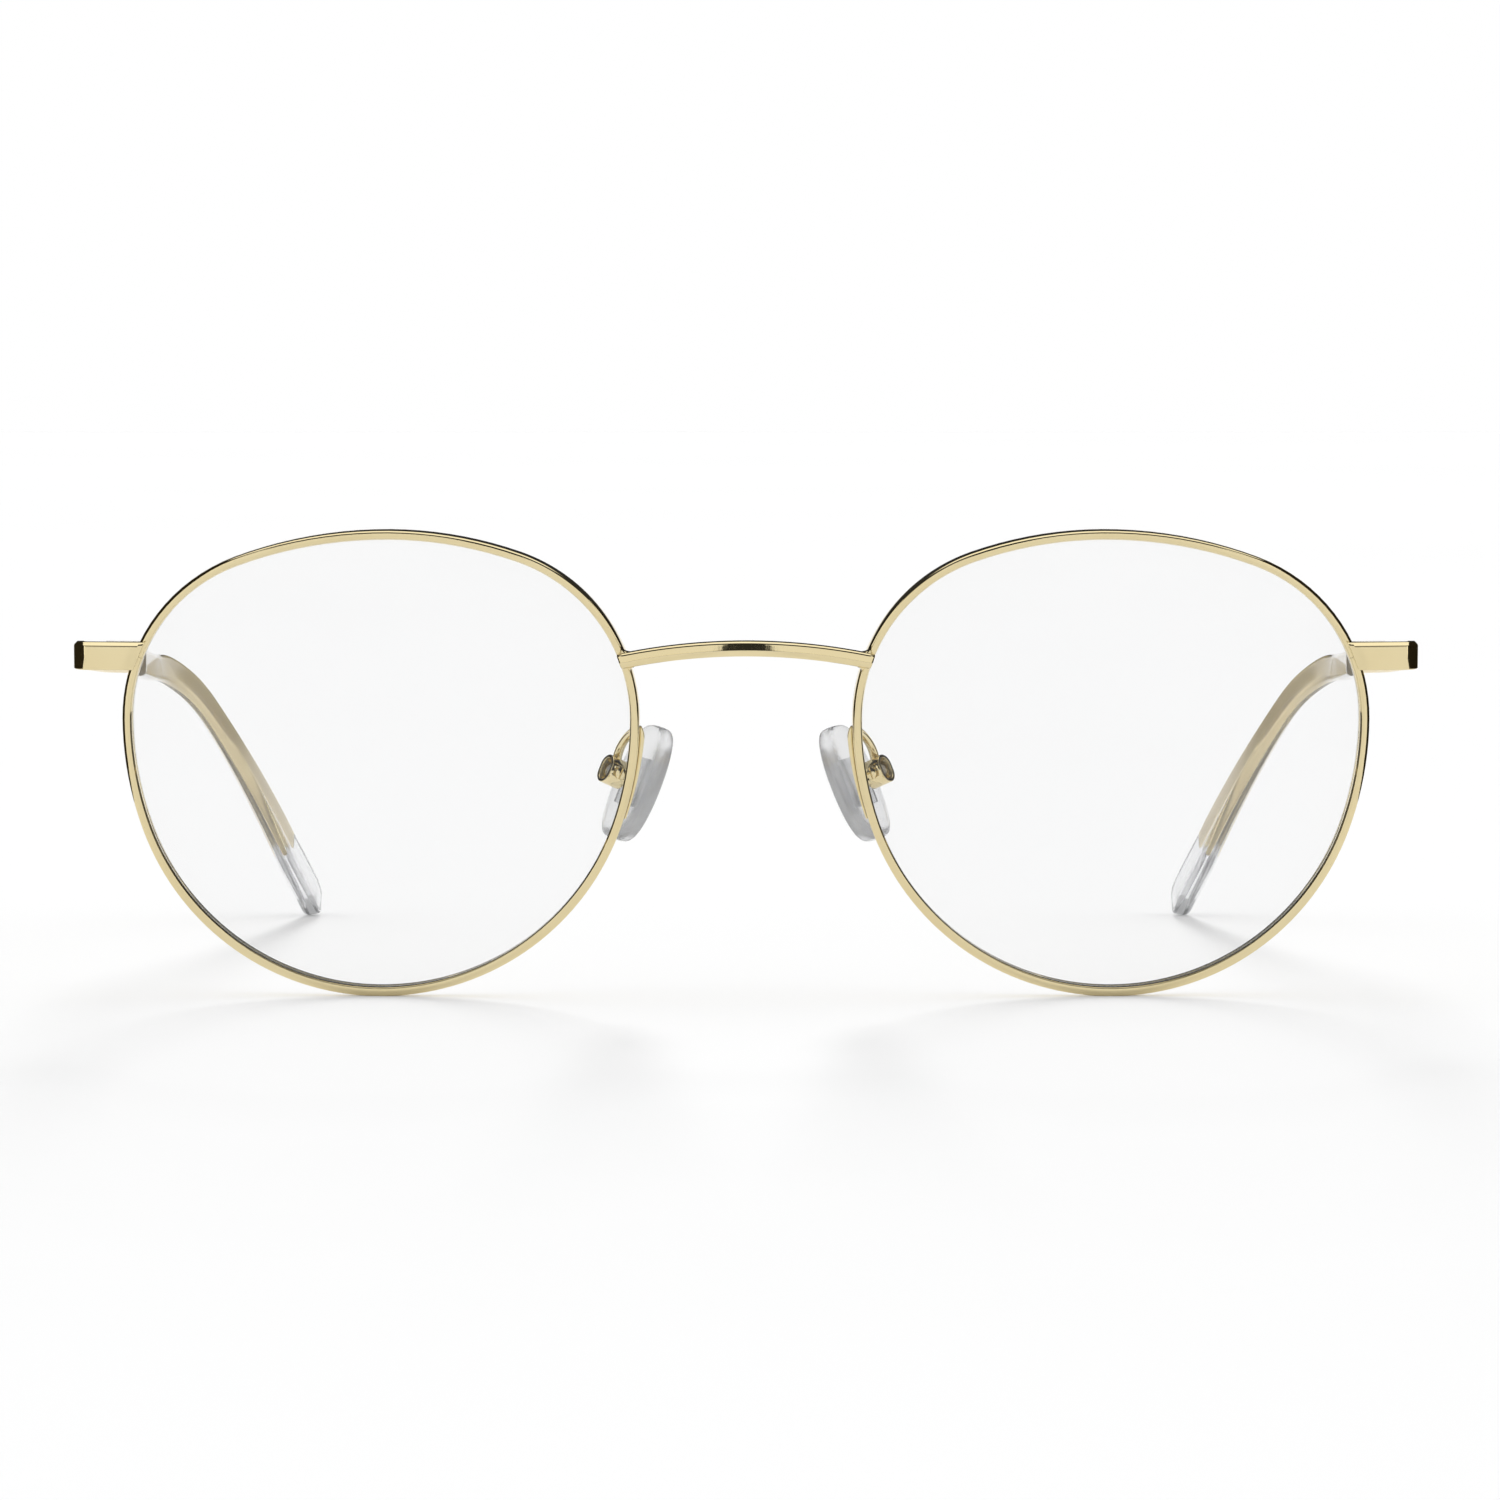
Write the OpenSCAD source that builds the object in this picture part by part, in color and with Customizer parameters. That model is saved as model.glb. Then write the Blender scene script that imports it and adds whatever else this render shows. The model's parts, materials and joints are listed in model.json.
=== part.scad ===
// Round metal eyeglasses with an arched bridge, screw-on silicone nose pads,
// three-barrel hinges and clear tips sleeved over the metal temples.
// The glasses stand open on z = 0 on both rims and both temple tips. They face -Y,
// +Z is up, and the wearer's left is +X. Sizes are in millimetres.
// Every side piece is drawn for the wearer's left and mirrored for the right.

/* [Lenses] */
// Width of a lens across its bevel
lens_w = 50.5; // [44:0.1:56]
// Height of a lens across its bevel
lens_h = 45.7; // [40:0.1:50]
// Distance between the two lenses
lens_gap = 22.1; // [18:0.1:26]
// Thickness of a lens
lens_t = 1.6; // [1.2:0.1:2]
// Radius of the lens's front face
lens_front_r = 130; // [90:5:260]
// Width of the bevel around a lens
bevel_w = 0.7; // [0.5:0.05:1.1]

/* [Rims] */
// Width of the rim wire, seen from the front
rim_t = 0.92; // [0.8:0.02:1.4]
// Depth of the rim wire, front to back
rim_d = 1.8; // [1.4:0.05:2.4]
// Depth of the groove that holds the lens
groove = 0.42; // [0.25:0.01:0.6]
// Radius on the rim wire's edges
rim_edge = 0.24; // [0.1:0.02:0.3]

/* [Stance] */
// Angle by which each lens is turned back at the temple
wrap = 4; // [0:0.5:8]
// Angle by which the front's top leans forward
lean = 6; // [0:0.5:9]
// Angle by which the temples fall towards the ears
slope = 2.6; // [0:0.1:4]

/* [Bridge] */
// Height of the bridge bar
bridge_h = 1.5; // [1.3:0.05:2.4]
// Depth of the bridge bar
bridge_d = 1.6; // [1.3:0.05:2.2]
// Rise of the bridge's arch
bridge_rise = 1.6; // [0.6:0.05:3]
// Distance by which the arch bows forward
bridge_bow = 0.9; // [0.3:0.05:2]
// Height of the bridge's ends above the middle of the lenses
bridge_z = 10.45; // [7:0.05:12]
// Distance of the bridge's middle ahead of the rims' middle
bridge_ahead = 0.5; // [0.3:0.05:0.8]
// Radius on the bridge bar's edges
bridge_edge = 0.6; // [0.3:0.05:0.7]

/* [End pieces] */
// Width of the whole front, over both end pieces
front_w = 133.4; // [128:0.2:142]
// Height of the end pieces
end_h = 2.75; // [2.4:0.05:4]
// Thickness of the strip that the end pieces are bent from
end_t = 1.1; // [0.9:0.05:1.4]
// Height of the end pieces above the middle of the lenses
end_z = 10.7; // [8:0.1:12]
// Outer radius of the bend
end_r = 1.35; // [1.2:0.05:1.8]
// Length of the part that runs back to the hinge
end_len = 8; // [7:0.5:12]

/* [Rim closings] */
// Height of one half of a closing block
block_h = 1; // [0.9:0.1:2.4]
// Width of a closing block beside the rim
block_w = 3; // [2.6:0.1:3.4]
// Gap where the rim is split
split_gap = 0.2; // [0.1:0.05:0.4]
// Diameter of the rim screw's shank
rim_screw_d = 1.4; // [1:0.1:1.4]

/* [Hinges] */
// Diameter of the hinge barrels
barrel_d = 2.5; // [2.3:0.1:3]
// Height of all three barrels together
barrel_h = 2.1; // [2:0.1:4.2]
// Diameter of the hinge screw's shank
hinge_screw_d = 1.4; // [1.2:0.1:1.6]
// Length of the leaf brazed to the strip
leaf_len = 4.6; // [4:0.1:6]
// Thickness of the leaf
leaf_t = 0.5; // [0.4:0.05:0.7]

/* [Temples] */
// Length from the hinge to the start of the ear bend
temple_len = 92; // [80:1:100]
// Height of the metal strip at the hinge
arm_h = 2.75; // [2.4:0.05:4]
// Thickness of the metal strip at the hinge
arm_t = 1.1; // [0.9:0.05:1.4]
// Height of the metal core inside the tip
core_h = 2.3; // [1.6:0.1:2.4]
// Thickness of the metal core inside the tip
core_t = 0.75; // [0.5:0.05:0.9]
// Angle of the straight end below level
ear_angle = 48; // [35:1:60]
// Radius of the ear bend
ear_r = 16; // [12:1:24]
// Distance by which a tip stands inside the strip it grows from
tip_inset = 16.2; // [10:0.2:18]

/* [Temple tips] */
// Length of the sleeve ahead of the ear bend
sleeve_lead = 27; // [15:1:40]
// Height of the sleeve
sleeve_h = 2.9; // [2.7:0.1:4]
// Thickness of the sleeve
sleeve_t = 1.95; // [1.6:0.05:2.6]
// Radius on the sleeve's edges
sleeve_edge = 0.6; // [0.3:0.05:0.75]
// Height of the paddle at the end
paddle_h = 4.9; // [4:0.1:6]
// Length of clear sleeve beyond the metal core
sleeve_clear = 10.5; // [6:0.5:14]

/* [Nose pads] */
// Length of a pad
pad_len = 12.1; // [10:0.1:15]
// Width of a pad
pad_w = 7.2; // [6:0.1:9]
// Thickness of a pad
pad_t = 2.6; // [2.4:0.1:3.6]
// Distance of a pad box from the middle of the glasses
pad_x = 13.2; // [12.6:0.1:14]
// Distance of a pad box behind the front
pad_y = 7; // [6.5:0.1:9]
// Angle by which the pads splay towards the face
pad_splay = 33; // [15:1:35]
// Angle by which the pads' tops lean together
pad_tilt = 26; // [5:1:30]
// Diameter of the pad arm's wire
wire_d = 0.85; // [0.7:0.05:1.2]
// Diameter of the pad screw's shank
pad_screw_d = 0.8; // [0.7:0.05:1.2]

/* [Fits] */
// Gap left for the braze between joined metal pieces
braze = 0.02; // [0.01:0.01:0.05]
// Radial clearance of a turning bore on its screw
run_clear = 0.05; // [0.02:0.01:0.08]
// Radial clearance of a screw in the piece that holds it
hold_clear = 0.02; // [0.01:0.01:0.04]
// Gap between moving faces
face_gap = 0.05; // [0.03:0.01:0.1]

/* [Hidden] */
$fn = 48;

gold = "#dccb9b";
steel = "#c9c9c4";

// ---- Lens outline: four quarters, each of two tangent arcs ----

// Places of the outline's highest, lowest, outermost and nose-side points
top_x = -1;
low_x = 0.4;
outer_z = 4.3;
nose_z = 4.7;
// Share of the quarter's shorter side taken by its small arc
tight_outer_top = 0.907;
tight_nose_top = 0.933;
tight_nose_low = 0.985;
tight_outer_low = 0.98;

// Radius of the arc at a quarter's top or bottom, and of the one at its side
function flat_r(a, b, k) = a < b ? k * a : (a * a + b * b - 2 * a * k * b) / (2 * (b - k * b));
function side_r(a, b, k) = a < b ? (a * a + b * b - 2 * b * k * a) / (2 * (a - k * a)) : k * b;
// Angle at which the two arcs meet, from the side
function meet(a, b, k) = let (rf = flat_r(a, b, k), rs = side_r(a, b, k))
    rf > rs ? atan2(rf - b, a - rs) : atan2(b - rf, rs - a);

// Both arcs of a quarter as [centre x, centre z, radius, start angle, sweep].
// sx and sz give the quarter, (ox, oz) the point where its axes cross.
function quarter(sx, sz, ox, oz, a, b, k) = let (
    rf = flat_r(a, b, k), rs = side_r(a, b, k), m = meet(a, b, k),
    turn = sx > 0 ? (sz > 0 ? 0 : 270) : (sz > 0 ? 90 : 180),
    flip = sx * sz < 0)
    [[ox + sx * (a - rs), oz, rs, turn + (flip ? 90 - m : 0), m],
     [ox, oz + sz * (b - rf), rf, turn + (flip ? 0 : m), 90 - m]];

outer_top = quarter(1, 1, top_x, outer_z, lens_w / 2 - top_x, lens_h / 2 - outer_z, tight_outer_top);
nose_top = quarter(-1, 1, top_x, nose_z, lens_w / 2 + top_x, lens_h / 2 - nose_z, tight_nose_top);
nose_low = quarter(-1, -1, low_x, nose_z, lens_w / 2 + low_x, lens_h / 2 + nose_z, tight_nose_low);
outer_low = quarter(1, -1, low_x, outer_z, lens_w / 2 - low_x, lens_h / 2 + outer_z, tight_outer_low);
arcs = concat(outer_top, nose_top, nose_low, outer_low);

// Arcs in the order that walks once around, from the outermost point upwards
walk = [for (i = [0, 1, 3, 2, 4, 5, 7, 6]) arcs[i]];
arc_steps = 10;
function on_arc(a, t, grow) = [a[0] + (a[2] + grow) * cos(t), a[1] + (a[2] + grow) * sin(t)];
// Points of the outline moved outwards by grow
function outline(grow) = [for (a = walk) for (j = [0 : arc_steps - 1])
    on_arc(a, a[3] + a[4] * j / arc_steps, grow)];

// ---- Places ----

rim_out = rim_t - groove;
lens_x = lens_w / 2 + lens_gap / 2;
rim_front = -rim_d / 2;
// Height of the lens centres, with the leaning rims' lowest edge on z = 0
lift = (lens_h / 2 + rim_out - rim_edge) * cos(lean) + rim_edge
    - ((lens_x + low_x) * sin(wrap) + (rim_front + rim_edge) * cos(wrap)) * sin(lean);

// End piece: centre of its bend, and where its strip starts to run back
half_w = front_w / 2;
bend_x = half_w - end_r;
bend_y = (rim_front - braze - end_t + end_r + bend_x * sin(wrap)) / cos(wrap);
// World place of a point at depth y and height z on the leaning front
function on_front(y, z) = [y * cos(lean) - z * sin(lean), y * sin(lean) + z * cos(lean) + lift];
run_start = on_front(bend_y, end_z);
hinge_y = run_start[0] + end_len;
hinge_z = run_start[1] - end_len * tan(slope);
hinge_x = half_w - end_t - braze - barrel_d / 2 - face_gap;

// Rim closing: the split is level with the middle of the end piece
close_arc = outer_top[0];
close_x = close_arc[0] + sqrt(pow(close_arc[2] + rim_out, 2) - pow(end_z - close_arc[1], 2));
close_screw_x = close_x + block_w / 2 + 0.25;
block_back = rim_d / 2 + 0.45;
close_head_d = 2.1;
close_head_h = 0.45;
close_screw_y = rim_front + close_head_d / 2;
// Reach of a closing block over the rim, and the metal left above its screw
close_lap = 0.8;
close_cap = 0.35;

// Nose pads
pad_box = [pad_x, pad_y, -1.55];
box_l = 2.2;
box_y = 2.2;
box_z = 2.9;
box_wall = 0.35;
tab_y = 0.9;
tab_z = 1.5;
// Distance of a pad's middle from its screw, towards the nose
pad_off = 3.1;
plate_y = 3.2;
plate_z = 5;
plate_t = 0.8;
pad_head_d = pad_screw_d + 0.4;
pad_head_h = 0.25;

// ---- Temple path ----
// t is the distance along the temple from the start of the ear bend.

bend_at = [hinge_y + temple_len * cos(slope), hinge_z - temple_len * sin(slope)];
bend_len = ear_r * (ear_angle - slope) * PI / 180;
curl_lead = 5;
curl_ease = 12;
curl_fade = 0.0032;
// Length of the straight end over which the curl reaches tip_inset
curl_span = 31.4;

function fall(t) = t < 0 ? slope : min(ear_angle, slope + t / ear_r * 180 / PI);
function path_yz(t) = bend_at + (t < 0 ? t * [cos(slope), -sin(slope)]
    : ear_r * [sin(fall(t)) - sin(slope), cos(fall(t)) - cos(slope)]
        + max(0, t - bend_len) * [cos(ear_angle), -sin(ear_angle)]);

// Inward curl: an eased start, then a slope that fades towards the tip
curl_run = curl_span + bend_len + curl_lead - curl_ease;
curl_slope = (tip_inset + curl_fade * curl_run * curl_run) / (curl_run + curl_ease / 2);
function curl(t) = let (d = t + curl_lead, e = d - curl_ease)
    d < 0 ? 0 : e < 0 ? curl_slope * d * d / (2 * curl_ease)
    : curl_slope * (curl_ease / 2 + e) - curl_fade * e * e;

// The strip's outer face is flat for flat_len, then it eases in to the core's line
flat_len = 34;
arm_x = half_w - arm_t / 2;
core_x = half_w - 0.35 - sleeve_t / 2;
function ease(t, a, b) = min(1, max(0, (t - a) / (b - a)));
function taper(t) = ease(t, flat_len - temple_len, -sleeve_lead);
function path_x(t) = arm_x + (core_x - arm_x) * taper(t) - curl(t);

function unit(v) = v / norm(v);
// Middle, upward and sideways directions of the strip at t
function frame_at(t) = let (p = path_yz(t), f = fall(t), u = [0, sin(f), cos(f)],
    d = unit([(path_x(t + 0.01) - path_x(t - 0.01)) / 0.02, cos(f), -sin(f)]))
    [[path_x(t), p[0], p[1]], u, unit(cross(d, u))];

// A four-cornered section of the strip, grown by g on every side
function strip_ring(t, g = 0) = let (f = frame_at(t),
    h = arm_h / 2 + (core_h - arm_h) / 2 * taper(t) + g,
    w = arm_t / 2 + (core_t - arm_t) / 2 * taper(t) + g)
    [for (c = [[1, 1], [-1, 1], [-1, -1], [1, -1]]) f[0] + c[0] * h * f[1] + c[1] * w * f[2]];

// A section of the sleeve, flat-sided with rounded edges; e is the distance to its far end
function paddle(e) = let (k = ease(e, 34, 7)) sleeve_h + (paddle_h - sleeve_h) * k * k * (3 - 2 * k);
function round_end(e, r) = e >= r ? 1 : sqrt(max(0.01, 1 - pow(1 - e / r, 2)));
function sleeve_ring(t, e) = let (f = frame_at(t), lip = min(1, 0.86 + (t + sleeve_lead) * 0.4),
    h = paddle(e) / 2 * round_end(e, 2.6) * lip, w = sleeve_t / 2 * round_end(e, 1.3) * lip)
    [for (c = [[1, 1, 0], [-1, 1, 90], [-1, -1, 180], [1, -1, 270]]) for (i = [0 : 3])
        let (r = sleeve_edge * min(1, h, w), a = c[2] + i * 30)
        f[0] + (c[0] * (h - r) + r * cos(a)) * f[1] + (c[1] * (w - r) + r * sin(a)) * f[2]];

// Stations along the sleeve that ends at t = stop
function sleeve_stations(stop) = concat(
    [-sleeve_lead, 0.35 - sleeve_lead, -curl_lead],
    [for (i = [0 : 7]) i * bend_len / 7],
    [for (e = [24, 19, 14, 10, 6, 3.5, 1.9, 0.9, 0.3, 0]) stop - e]);
function sleeve_rings(stop) = [for (t = sleeve_stations(stop)) sleeve_ring(t, stop - t)];
function lowest(rings) = min([for (r = rings) for (p = r) p[2]]);
// The straight end is as long as it needs to be for the tip to touch z = 0
trial_end = bend_len + 28;
sleeve_end = trial_end + lowest(sleeve_rings(trial_end)) / sin(ear_angle);
tip_rings = sleeve_rings(sleeve_end);
core_end = sleeve_end - sleeve_clear;

// Middle of the whole depth, from the rims' upper front edge to the tips
rear_y = max([for (r = tip_rings) for (p = r) p[1]]);
front_y = (lens_x + top_x) * sin(wrap) * cos(lean) + rim_front * cos(lean)
    - (lens_h / 2 + rim_out) * sin(lean);
// The lens stands ahead of the rim at its middle
lens_mid_r = lens_front_r - lens_t / 2;
lens_cy = sqrt(pow(lens_mid_r, 2) - pow((lens_w + lens_h) / 4, 2));
lens_bulge = lens_front_r - lens_cy;
mid_y = (rear_y + min(front_y, -lens_bulge)) / 2;

// ---- Helpers ----

// Moves a shape drawn in world millimetres to the part's origin, and mirrors it for the right
module side(right = false) {
    mirror([right ? 1 : 0, 0, 0]) translate([0, -mid_y, 0]) children();
}
module front_space() { translate([0, 0, lift]) rotate([lean, 0, 0]) children(); }
// Lens space: x towards the temple, y back, z up, from the lens's centre
module lens_space() { front_space() rotate([0, 0, wrap]) translate([lens_x, 0, 0]) children(); }
// Pad space: -x towards the nose, y along the pad screw, z along the pad
module pad_space() {
    front_space() translate(pad_box) rotate([0, -pad_tilt, -pad_splay]) children();
}

// Skins rings that all have the same number of points, turning to the left along the path.
// A closed loft joins its last ring to its first. An open one has a cap at each end,
// fanned from the rings' first points.
module loft(rings, closed = false) {
    n = len(rings[0]);
    m = len(rings);
    polyhedron(
        points = [for (r = rings) for (p = r) p],
        faces = concat(
            [for (i = [0 : m - (closed ? 1 : 2)]) for (j = [0 : n - 1])
                let (k = (j + 1) % n, a = i * n, b = (i + 1) % m * n)
                each [[a + j, b + j, b + k], [a + j, b + k, a + k]]],
            closed ? [] : [[for (j = [0 : n - 1]) j], [for (j = [0 : n - 1]) (m - 1) * n + (n - j) % n]]));
}

// Turns the 2D children around one of the outline's arcs, moved outwards from it
module turned(a, start = 0, angle = 360) {
    rotate([90, 0, 0]) translate([a[0], a[1], 0])
        rotate_extrude(start = start, angle = angle, $fn = 96) translate([a[2], 0]) children();
}
module box_at(low, high) { translate(low) cube(high - low); }
module upright(r, z0, z1) { translate([0, 0, z0]) cylinder(r = r, h = z1 - z0); }
// A bar along y
module lying(r, y0, y1) { translate([0, y0, 0]) rotate([-90, 0, 0]) cylinder(r = r, h = y1 - y0); }

// ---- Front ----

// Section of the rim wire: x outwards from the outline, y across the depth
function rim_section() = let (d = rim_d / 2, e = rim_edge, lip = bevel_w / 2 + 0.08)
    concat([[braze, 0], [-groove, -lip], [-groove, -d + 0.1], [0.1 - groove, -d]],
        [for (i = [0 : 3]) [rim_out - e + e * sin(i * 30), -d + e - e * cos(i * 30)]],
        [for (i = [0 : 3]) [rim_out - e + e * cos(i * 30), d - e + e * sin(i * 30)]],
        [[0.1 - groove, d], [-groove, d - 0.1], [-groove, lip]]);
// The section placed at angle t of an arc
function section_at(a, t, section) = [for (p = section) let (q = on_arc(a, t, p[0])) [q[0], p[1], q[1]]];

// Space of the rim and its braze along one arc
module rim_space(a) {
    turned(a) translate([-groove - braze, -rim_d / 2 - braze]) square([rim_t + 2 * braze, rim_d + 2 * braze]);
}
// The wire starts above the split, goes once around and ends below it
module rim() {
    a = walk[0];
    mid = asin((end_z - a[1]) / (a[2] + rim_out));
    half_gap = split_gap / 2 / (a[2] + rim_out) * 180 / PI;
    sec = rim_section();
    color(gold) lens_space() loft(concat(
        [for (j = [0 : 6]) section_at(a, mid + half_gap + (a[4] - mid - half_gap) * j / 7, sec)],
        [for (i = [1 : 7]) for (j = [0 : arc_steps - 1])
            section_at(walk[i], walk[i][3] + walk[i][4] * j / arc_steps, sec)],
        [for (j = [0 : 3]) section_at(a, (mid - half_gap) * j / 3, sec)]));
}
module lens() {
    seat = groove + 0.05;
    color("#eef1f0", 0.35) lens_space() union() {
        difference() {
            intersection() {
                rotate([90, 0, 0]) linear_extrude(12, center = true) polygon(outline(-seat));
                translate([0, lens_cy, 0]) sphere(lens_front_r, $fn = 96);
            }
            translate([0, lens_cy, 0]) sphere(lens_front_r - lens_t, $fn = 96);
        }
        loft([for (a = walk) for (j = [0 : arc_steps - 1])
            section_at(a, a[3] + a[4] * j / arc_steps, [[-0.03, 0], [-seat, bevel_w / 2],
                [-seat - 0.4, bevel_w / 2], [-seat - 0.4, -bevel_w / 2], [-seat, -bevel_w / 2]])], true);
    }
}

module bar_section(h, d, e) {
    polygon([for (c = [[1, 1, 0], [-1, 1, 90], [-1, -1, 180], [1, -1, 270]]) for (i = [0 : 3])
        [c[0] * (h / 2 - e) + e * cos(c[2] + i * 30), c[1] * (d / 2 - e) + e * sin(c[2] + i * 30)]]);
}
module bridge() {
    arc = nose_top[0];
    reach = lens_gap / 2 + 2.2;
    sag = norm([bridge_rise, bridge_bow]);
    r = (reach * reach + sag * sag) / (2 * sag);
    half = asin(reach / r);
    tilt = atan2(bridge_bow, bridge_rise);
    color(gold) front_space() difference() {
        translate([0, -bridge_ahead, bridge_z]) rotate([tilt, 0, 0]) translate([0, 0, sag - r])
            rotate([90, 0, 0]) rotate_extrude(start = 90 - half, angle = 2 * half, $fn = 96)
                translate([r, 0]) rotate(-tilt) bar_section(bridge_h, bridge_d, bridge_edge);
        for (m = [0, 1]) mirror([m, 0, 0]) rotate([0, 0, wrap]) translate([lens_x, 0, 0]) {
            rim_space(arc);
            // The ends stop short of the rim's inner lip
            translate([arc[0], 0, arc[1]]) lying(arc[2] - groove + 0.3, -6, 6);
        }
    }
}

// Plate on the rim's front, a bend, and a strip that runs back to the hinge.
// Its plan is cut to height by its side view, which drops from the lean to the slope.
module endpiece() {
    stop = hinge_y - face_gap / 2;
    // The plate reaches past the rim's inside, and the cut below trims it
    start = lens_x + close_x - rim_t - 1.5;
    function bend(r, t) = [bend_x + r * cos(t), bend_y + r * sin(t)];
    function along_plate(r) = bend(r, wrap - 90) - (bend_x - start) * [cos(wrap), sin(wrap)];
    turn = 90 - wrap;
    color(gold) difference() {
        intersection() {
            front_space() translate([0, 0, end_z - 6]) linear_extrude(12) polygon(concat(
                [along_plate(end_r)],
                [for (i = [0 : 9]) bend(end_r, turn * (i / 9 - 1))],
                [[half_w, bend_y + end_len + 2], [half_w - end_t, bend_y + end_len + 2]],
                [for (i = [9 : -3 : 0]) bend(end_r - end_t, turn * (i / 9 - 1))],
                [along_plate(end_r - end_t)]));
            translate([start - 1, 0, 0]) rotate([90, 0, 90]) linear_extrude(half_w - start + 3) polygon([
                on_front(-9, end_z + end_h / 2), on_front(-9, end_z - end_h / 2),
                on_front(bend_y, end_z - end_h / 2), [stop, hinge_z - end_h / 2],
                [stop, hinge_z + end_h / 2], on_front(bend_y, end_z + end_h / 2)]);
        }
        lens_space() translate([close_arc[0], 0, close_arc[1]]) lying(close_arc[2], -6, 6);
    }
}

// One half of the block that closes the rim; up = 1 for the upper half, -1 for the lower
module closing(up) {
    far = split_gap / 2 + block_h;
    color(gold) lens_space() difference() {
        translate([0, 0, end_z]) box_at(
            [close_x - close_lap, rim_front, min(up * split_gap / 2, up * far)],
            [close_x + block_w, block_back, max(up * split_gap / 2, up * far)]);
        rim_space(close_arc);
        translate([close_arc[0], 0, close_arc[1]]) lying(close_arc[2] + rim_out - 0.3, -6, 6);
        translate([close_screw_x, close_screw_y, end_z]) {
            upright(rim_screw_d / 2 + hold_clear, -far - 1, up > 0 ? far - close_cap : far);
            if (up < 0) upright(close_head_d / 2 + hold_clear, -far - 1, -far + close_head_h);
        }
    }
}
module rim_screw() {
    far = split_gap / 2 + block_h;
    color(steel) lens_space() translate([close_screw_x, close_screw_y, end_z]) difference() {
        union() {
            upright(rim_screw_d / 2, -far + 0.1, far - close_cap - 0.1);
            upright(close_head_d / 2, -far, -far + close_head_h - hold_clear);
        }
        box_at([-2, -0.15, -far - 1], [2, 0.15, -far + 0.22]);
    }
}

// ---- Nose pads ----

// The foot: its width, its depth, and where it starts and ends around the rim
foot_w = 1;
foot_h = 0.7;
// Start of a foot below the rim's nose point, and its length down the rim
foot_drop = 0.844;
foot_len = 9.12;
// Height at which the wire leaves the foot
wire_z = 3.4;
// A foot that follows the rim's back, half beside it, and the wire that runs from it to the box
module pad_arm() {
    arc = nose_low[0];
    foot = rim_d / 2 + braze;
    foot_from = asin(foot_drop / arc[2]);
    foot_turn = asin((foot_drop + foot_len) / arc[2]) - foot_from;
    color(gold) union() {
        lens_space() turned(arc, 180 + foot_from, foot_turn) translate([rim_out - foot_w / 2, -foot - foot_h])
            square([foot_w, foot_h]);
        front_space() wire();
    }
}
// Bezier wire, from the foot's upper end back and down into the box's top
module wire() {
    start = [lens_x - lens_w / 2 - rim_out + 0.12, rim_d / 2 + 1.15, wire_z];
    stop = pad_box + [-0.3, 0.2, box_z / 2 - 0.5];
    ctrl = [start, start + [0.5, 2.4, -0.2], stop + [-0.35, -0.8, 2.2], stop];
    function at(s) = pow(1 - s, 3) * ctrl[0] + 3 * s * pow(1 - s, 2) * ctrl[1]
        + 3 * s * s * (1 - s) * ctrl[2] + pow(s, 3) * ctrl[3];
    rings = [for (i = [0 : 12]) let (s = i / 12, d = unit(at(s + 0.01) - at(s - 0.01)),
        a = unit(cross(d, [1, 0, 0])), b = cross(d, a))
        [for (j = [0 : 9]) at(s) + wire_d / 2 * (cos(j * 36) * a + sin(j * 36) * b)]];
    difference() {
        union() {
            loft(rings);
            translate(start) lying(wire_d / 2, -0.9, 0.3);
        }
        rotate([0, 0, wrap]) translate([lens_x, 0, 0]) rim_space(nose_low[0]);
        translate(pad_box) rotate([0, -pad_tilt, -pad_splay]) box_outer(braze);
    }
}

// Outside of the oval pad box, grown by g
module box_outer(g = 0) {
    rotate([0, 90, 0]) linear_extrude(box_l + 2 * g, center = true) oval(box_z + 2 * g, box_y + 2 * g);
}
module oval(l, w) {
    union() {
        square([l - w, w], center = true);
        for (s = [-1, 1]) translate([s * (l - w) / 2, 0]) circle(d = w);
    }
}
module pad_box() {
    color(gold) pad_space() difference() {
        box_outer();
        rotate([0, 90, 0]) linear_extrude(box_l + 2, center = true)
            oval(box_z - 2 * box_wall, box_y - 2 * box_wall);
        lying(pad_screw_d / 2 + hold_clear, -box_y, box_y);
    }
}
module pad_screw() {
    color(steel) pad_space() difference() {
        union() {
            lying(pad_screw_d / 2, -box_y / 2 - pad_head_h / 2, box_y / 2 + 0.1);
            lying(pad_head_d / 2, -box_y / 2 - hold_clear - pad_head_h, -box_y / 2 - hold_clear);
        }
        box_at([-0.12, -box_y, -box_z], [0.12, -box_y / 2 - pad_head_h / 2, box_z]);
    }
}
// Hard core of a pad: a plate inside the silicone and the tab that the screw holds
module insert_body(g = 0) {
    union() {
        translate([-pad_off, 0, 0]) box_at(
            [-plate_t / 2 - g, -plate_y / 2 - g, -plate_z / 2 - g],
            [plate_t / 2 + g, plate_y / 2 + g, plate_z / 2 + g]);
        box_at([-pad_off, -tab_y / 2 - g, -tab_z / 2 - g], [0, tab_y / 2 + g, tab_z / 2 + g]);
        lying(tab_z / 2, -tab_y / 2, tab_y / 2);
    }
}
module pad_insert() {
    color("#e8ebea", 0.6) pad_space() difference() {
        insert_body();
        lying(pad_screw_d / 2 + run_clear, -box_y, box_y);
    }
}
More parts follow.
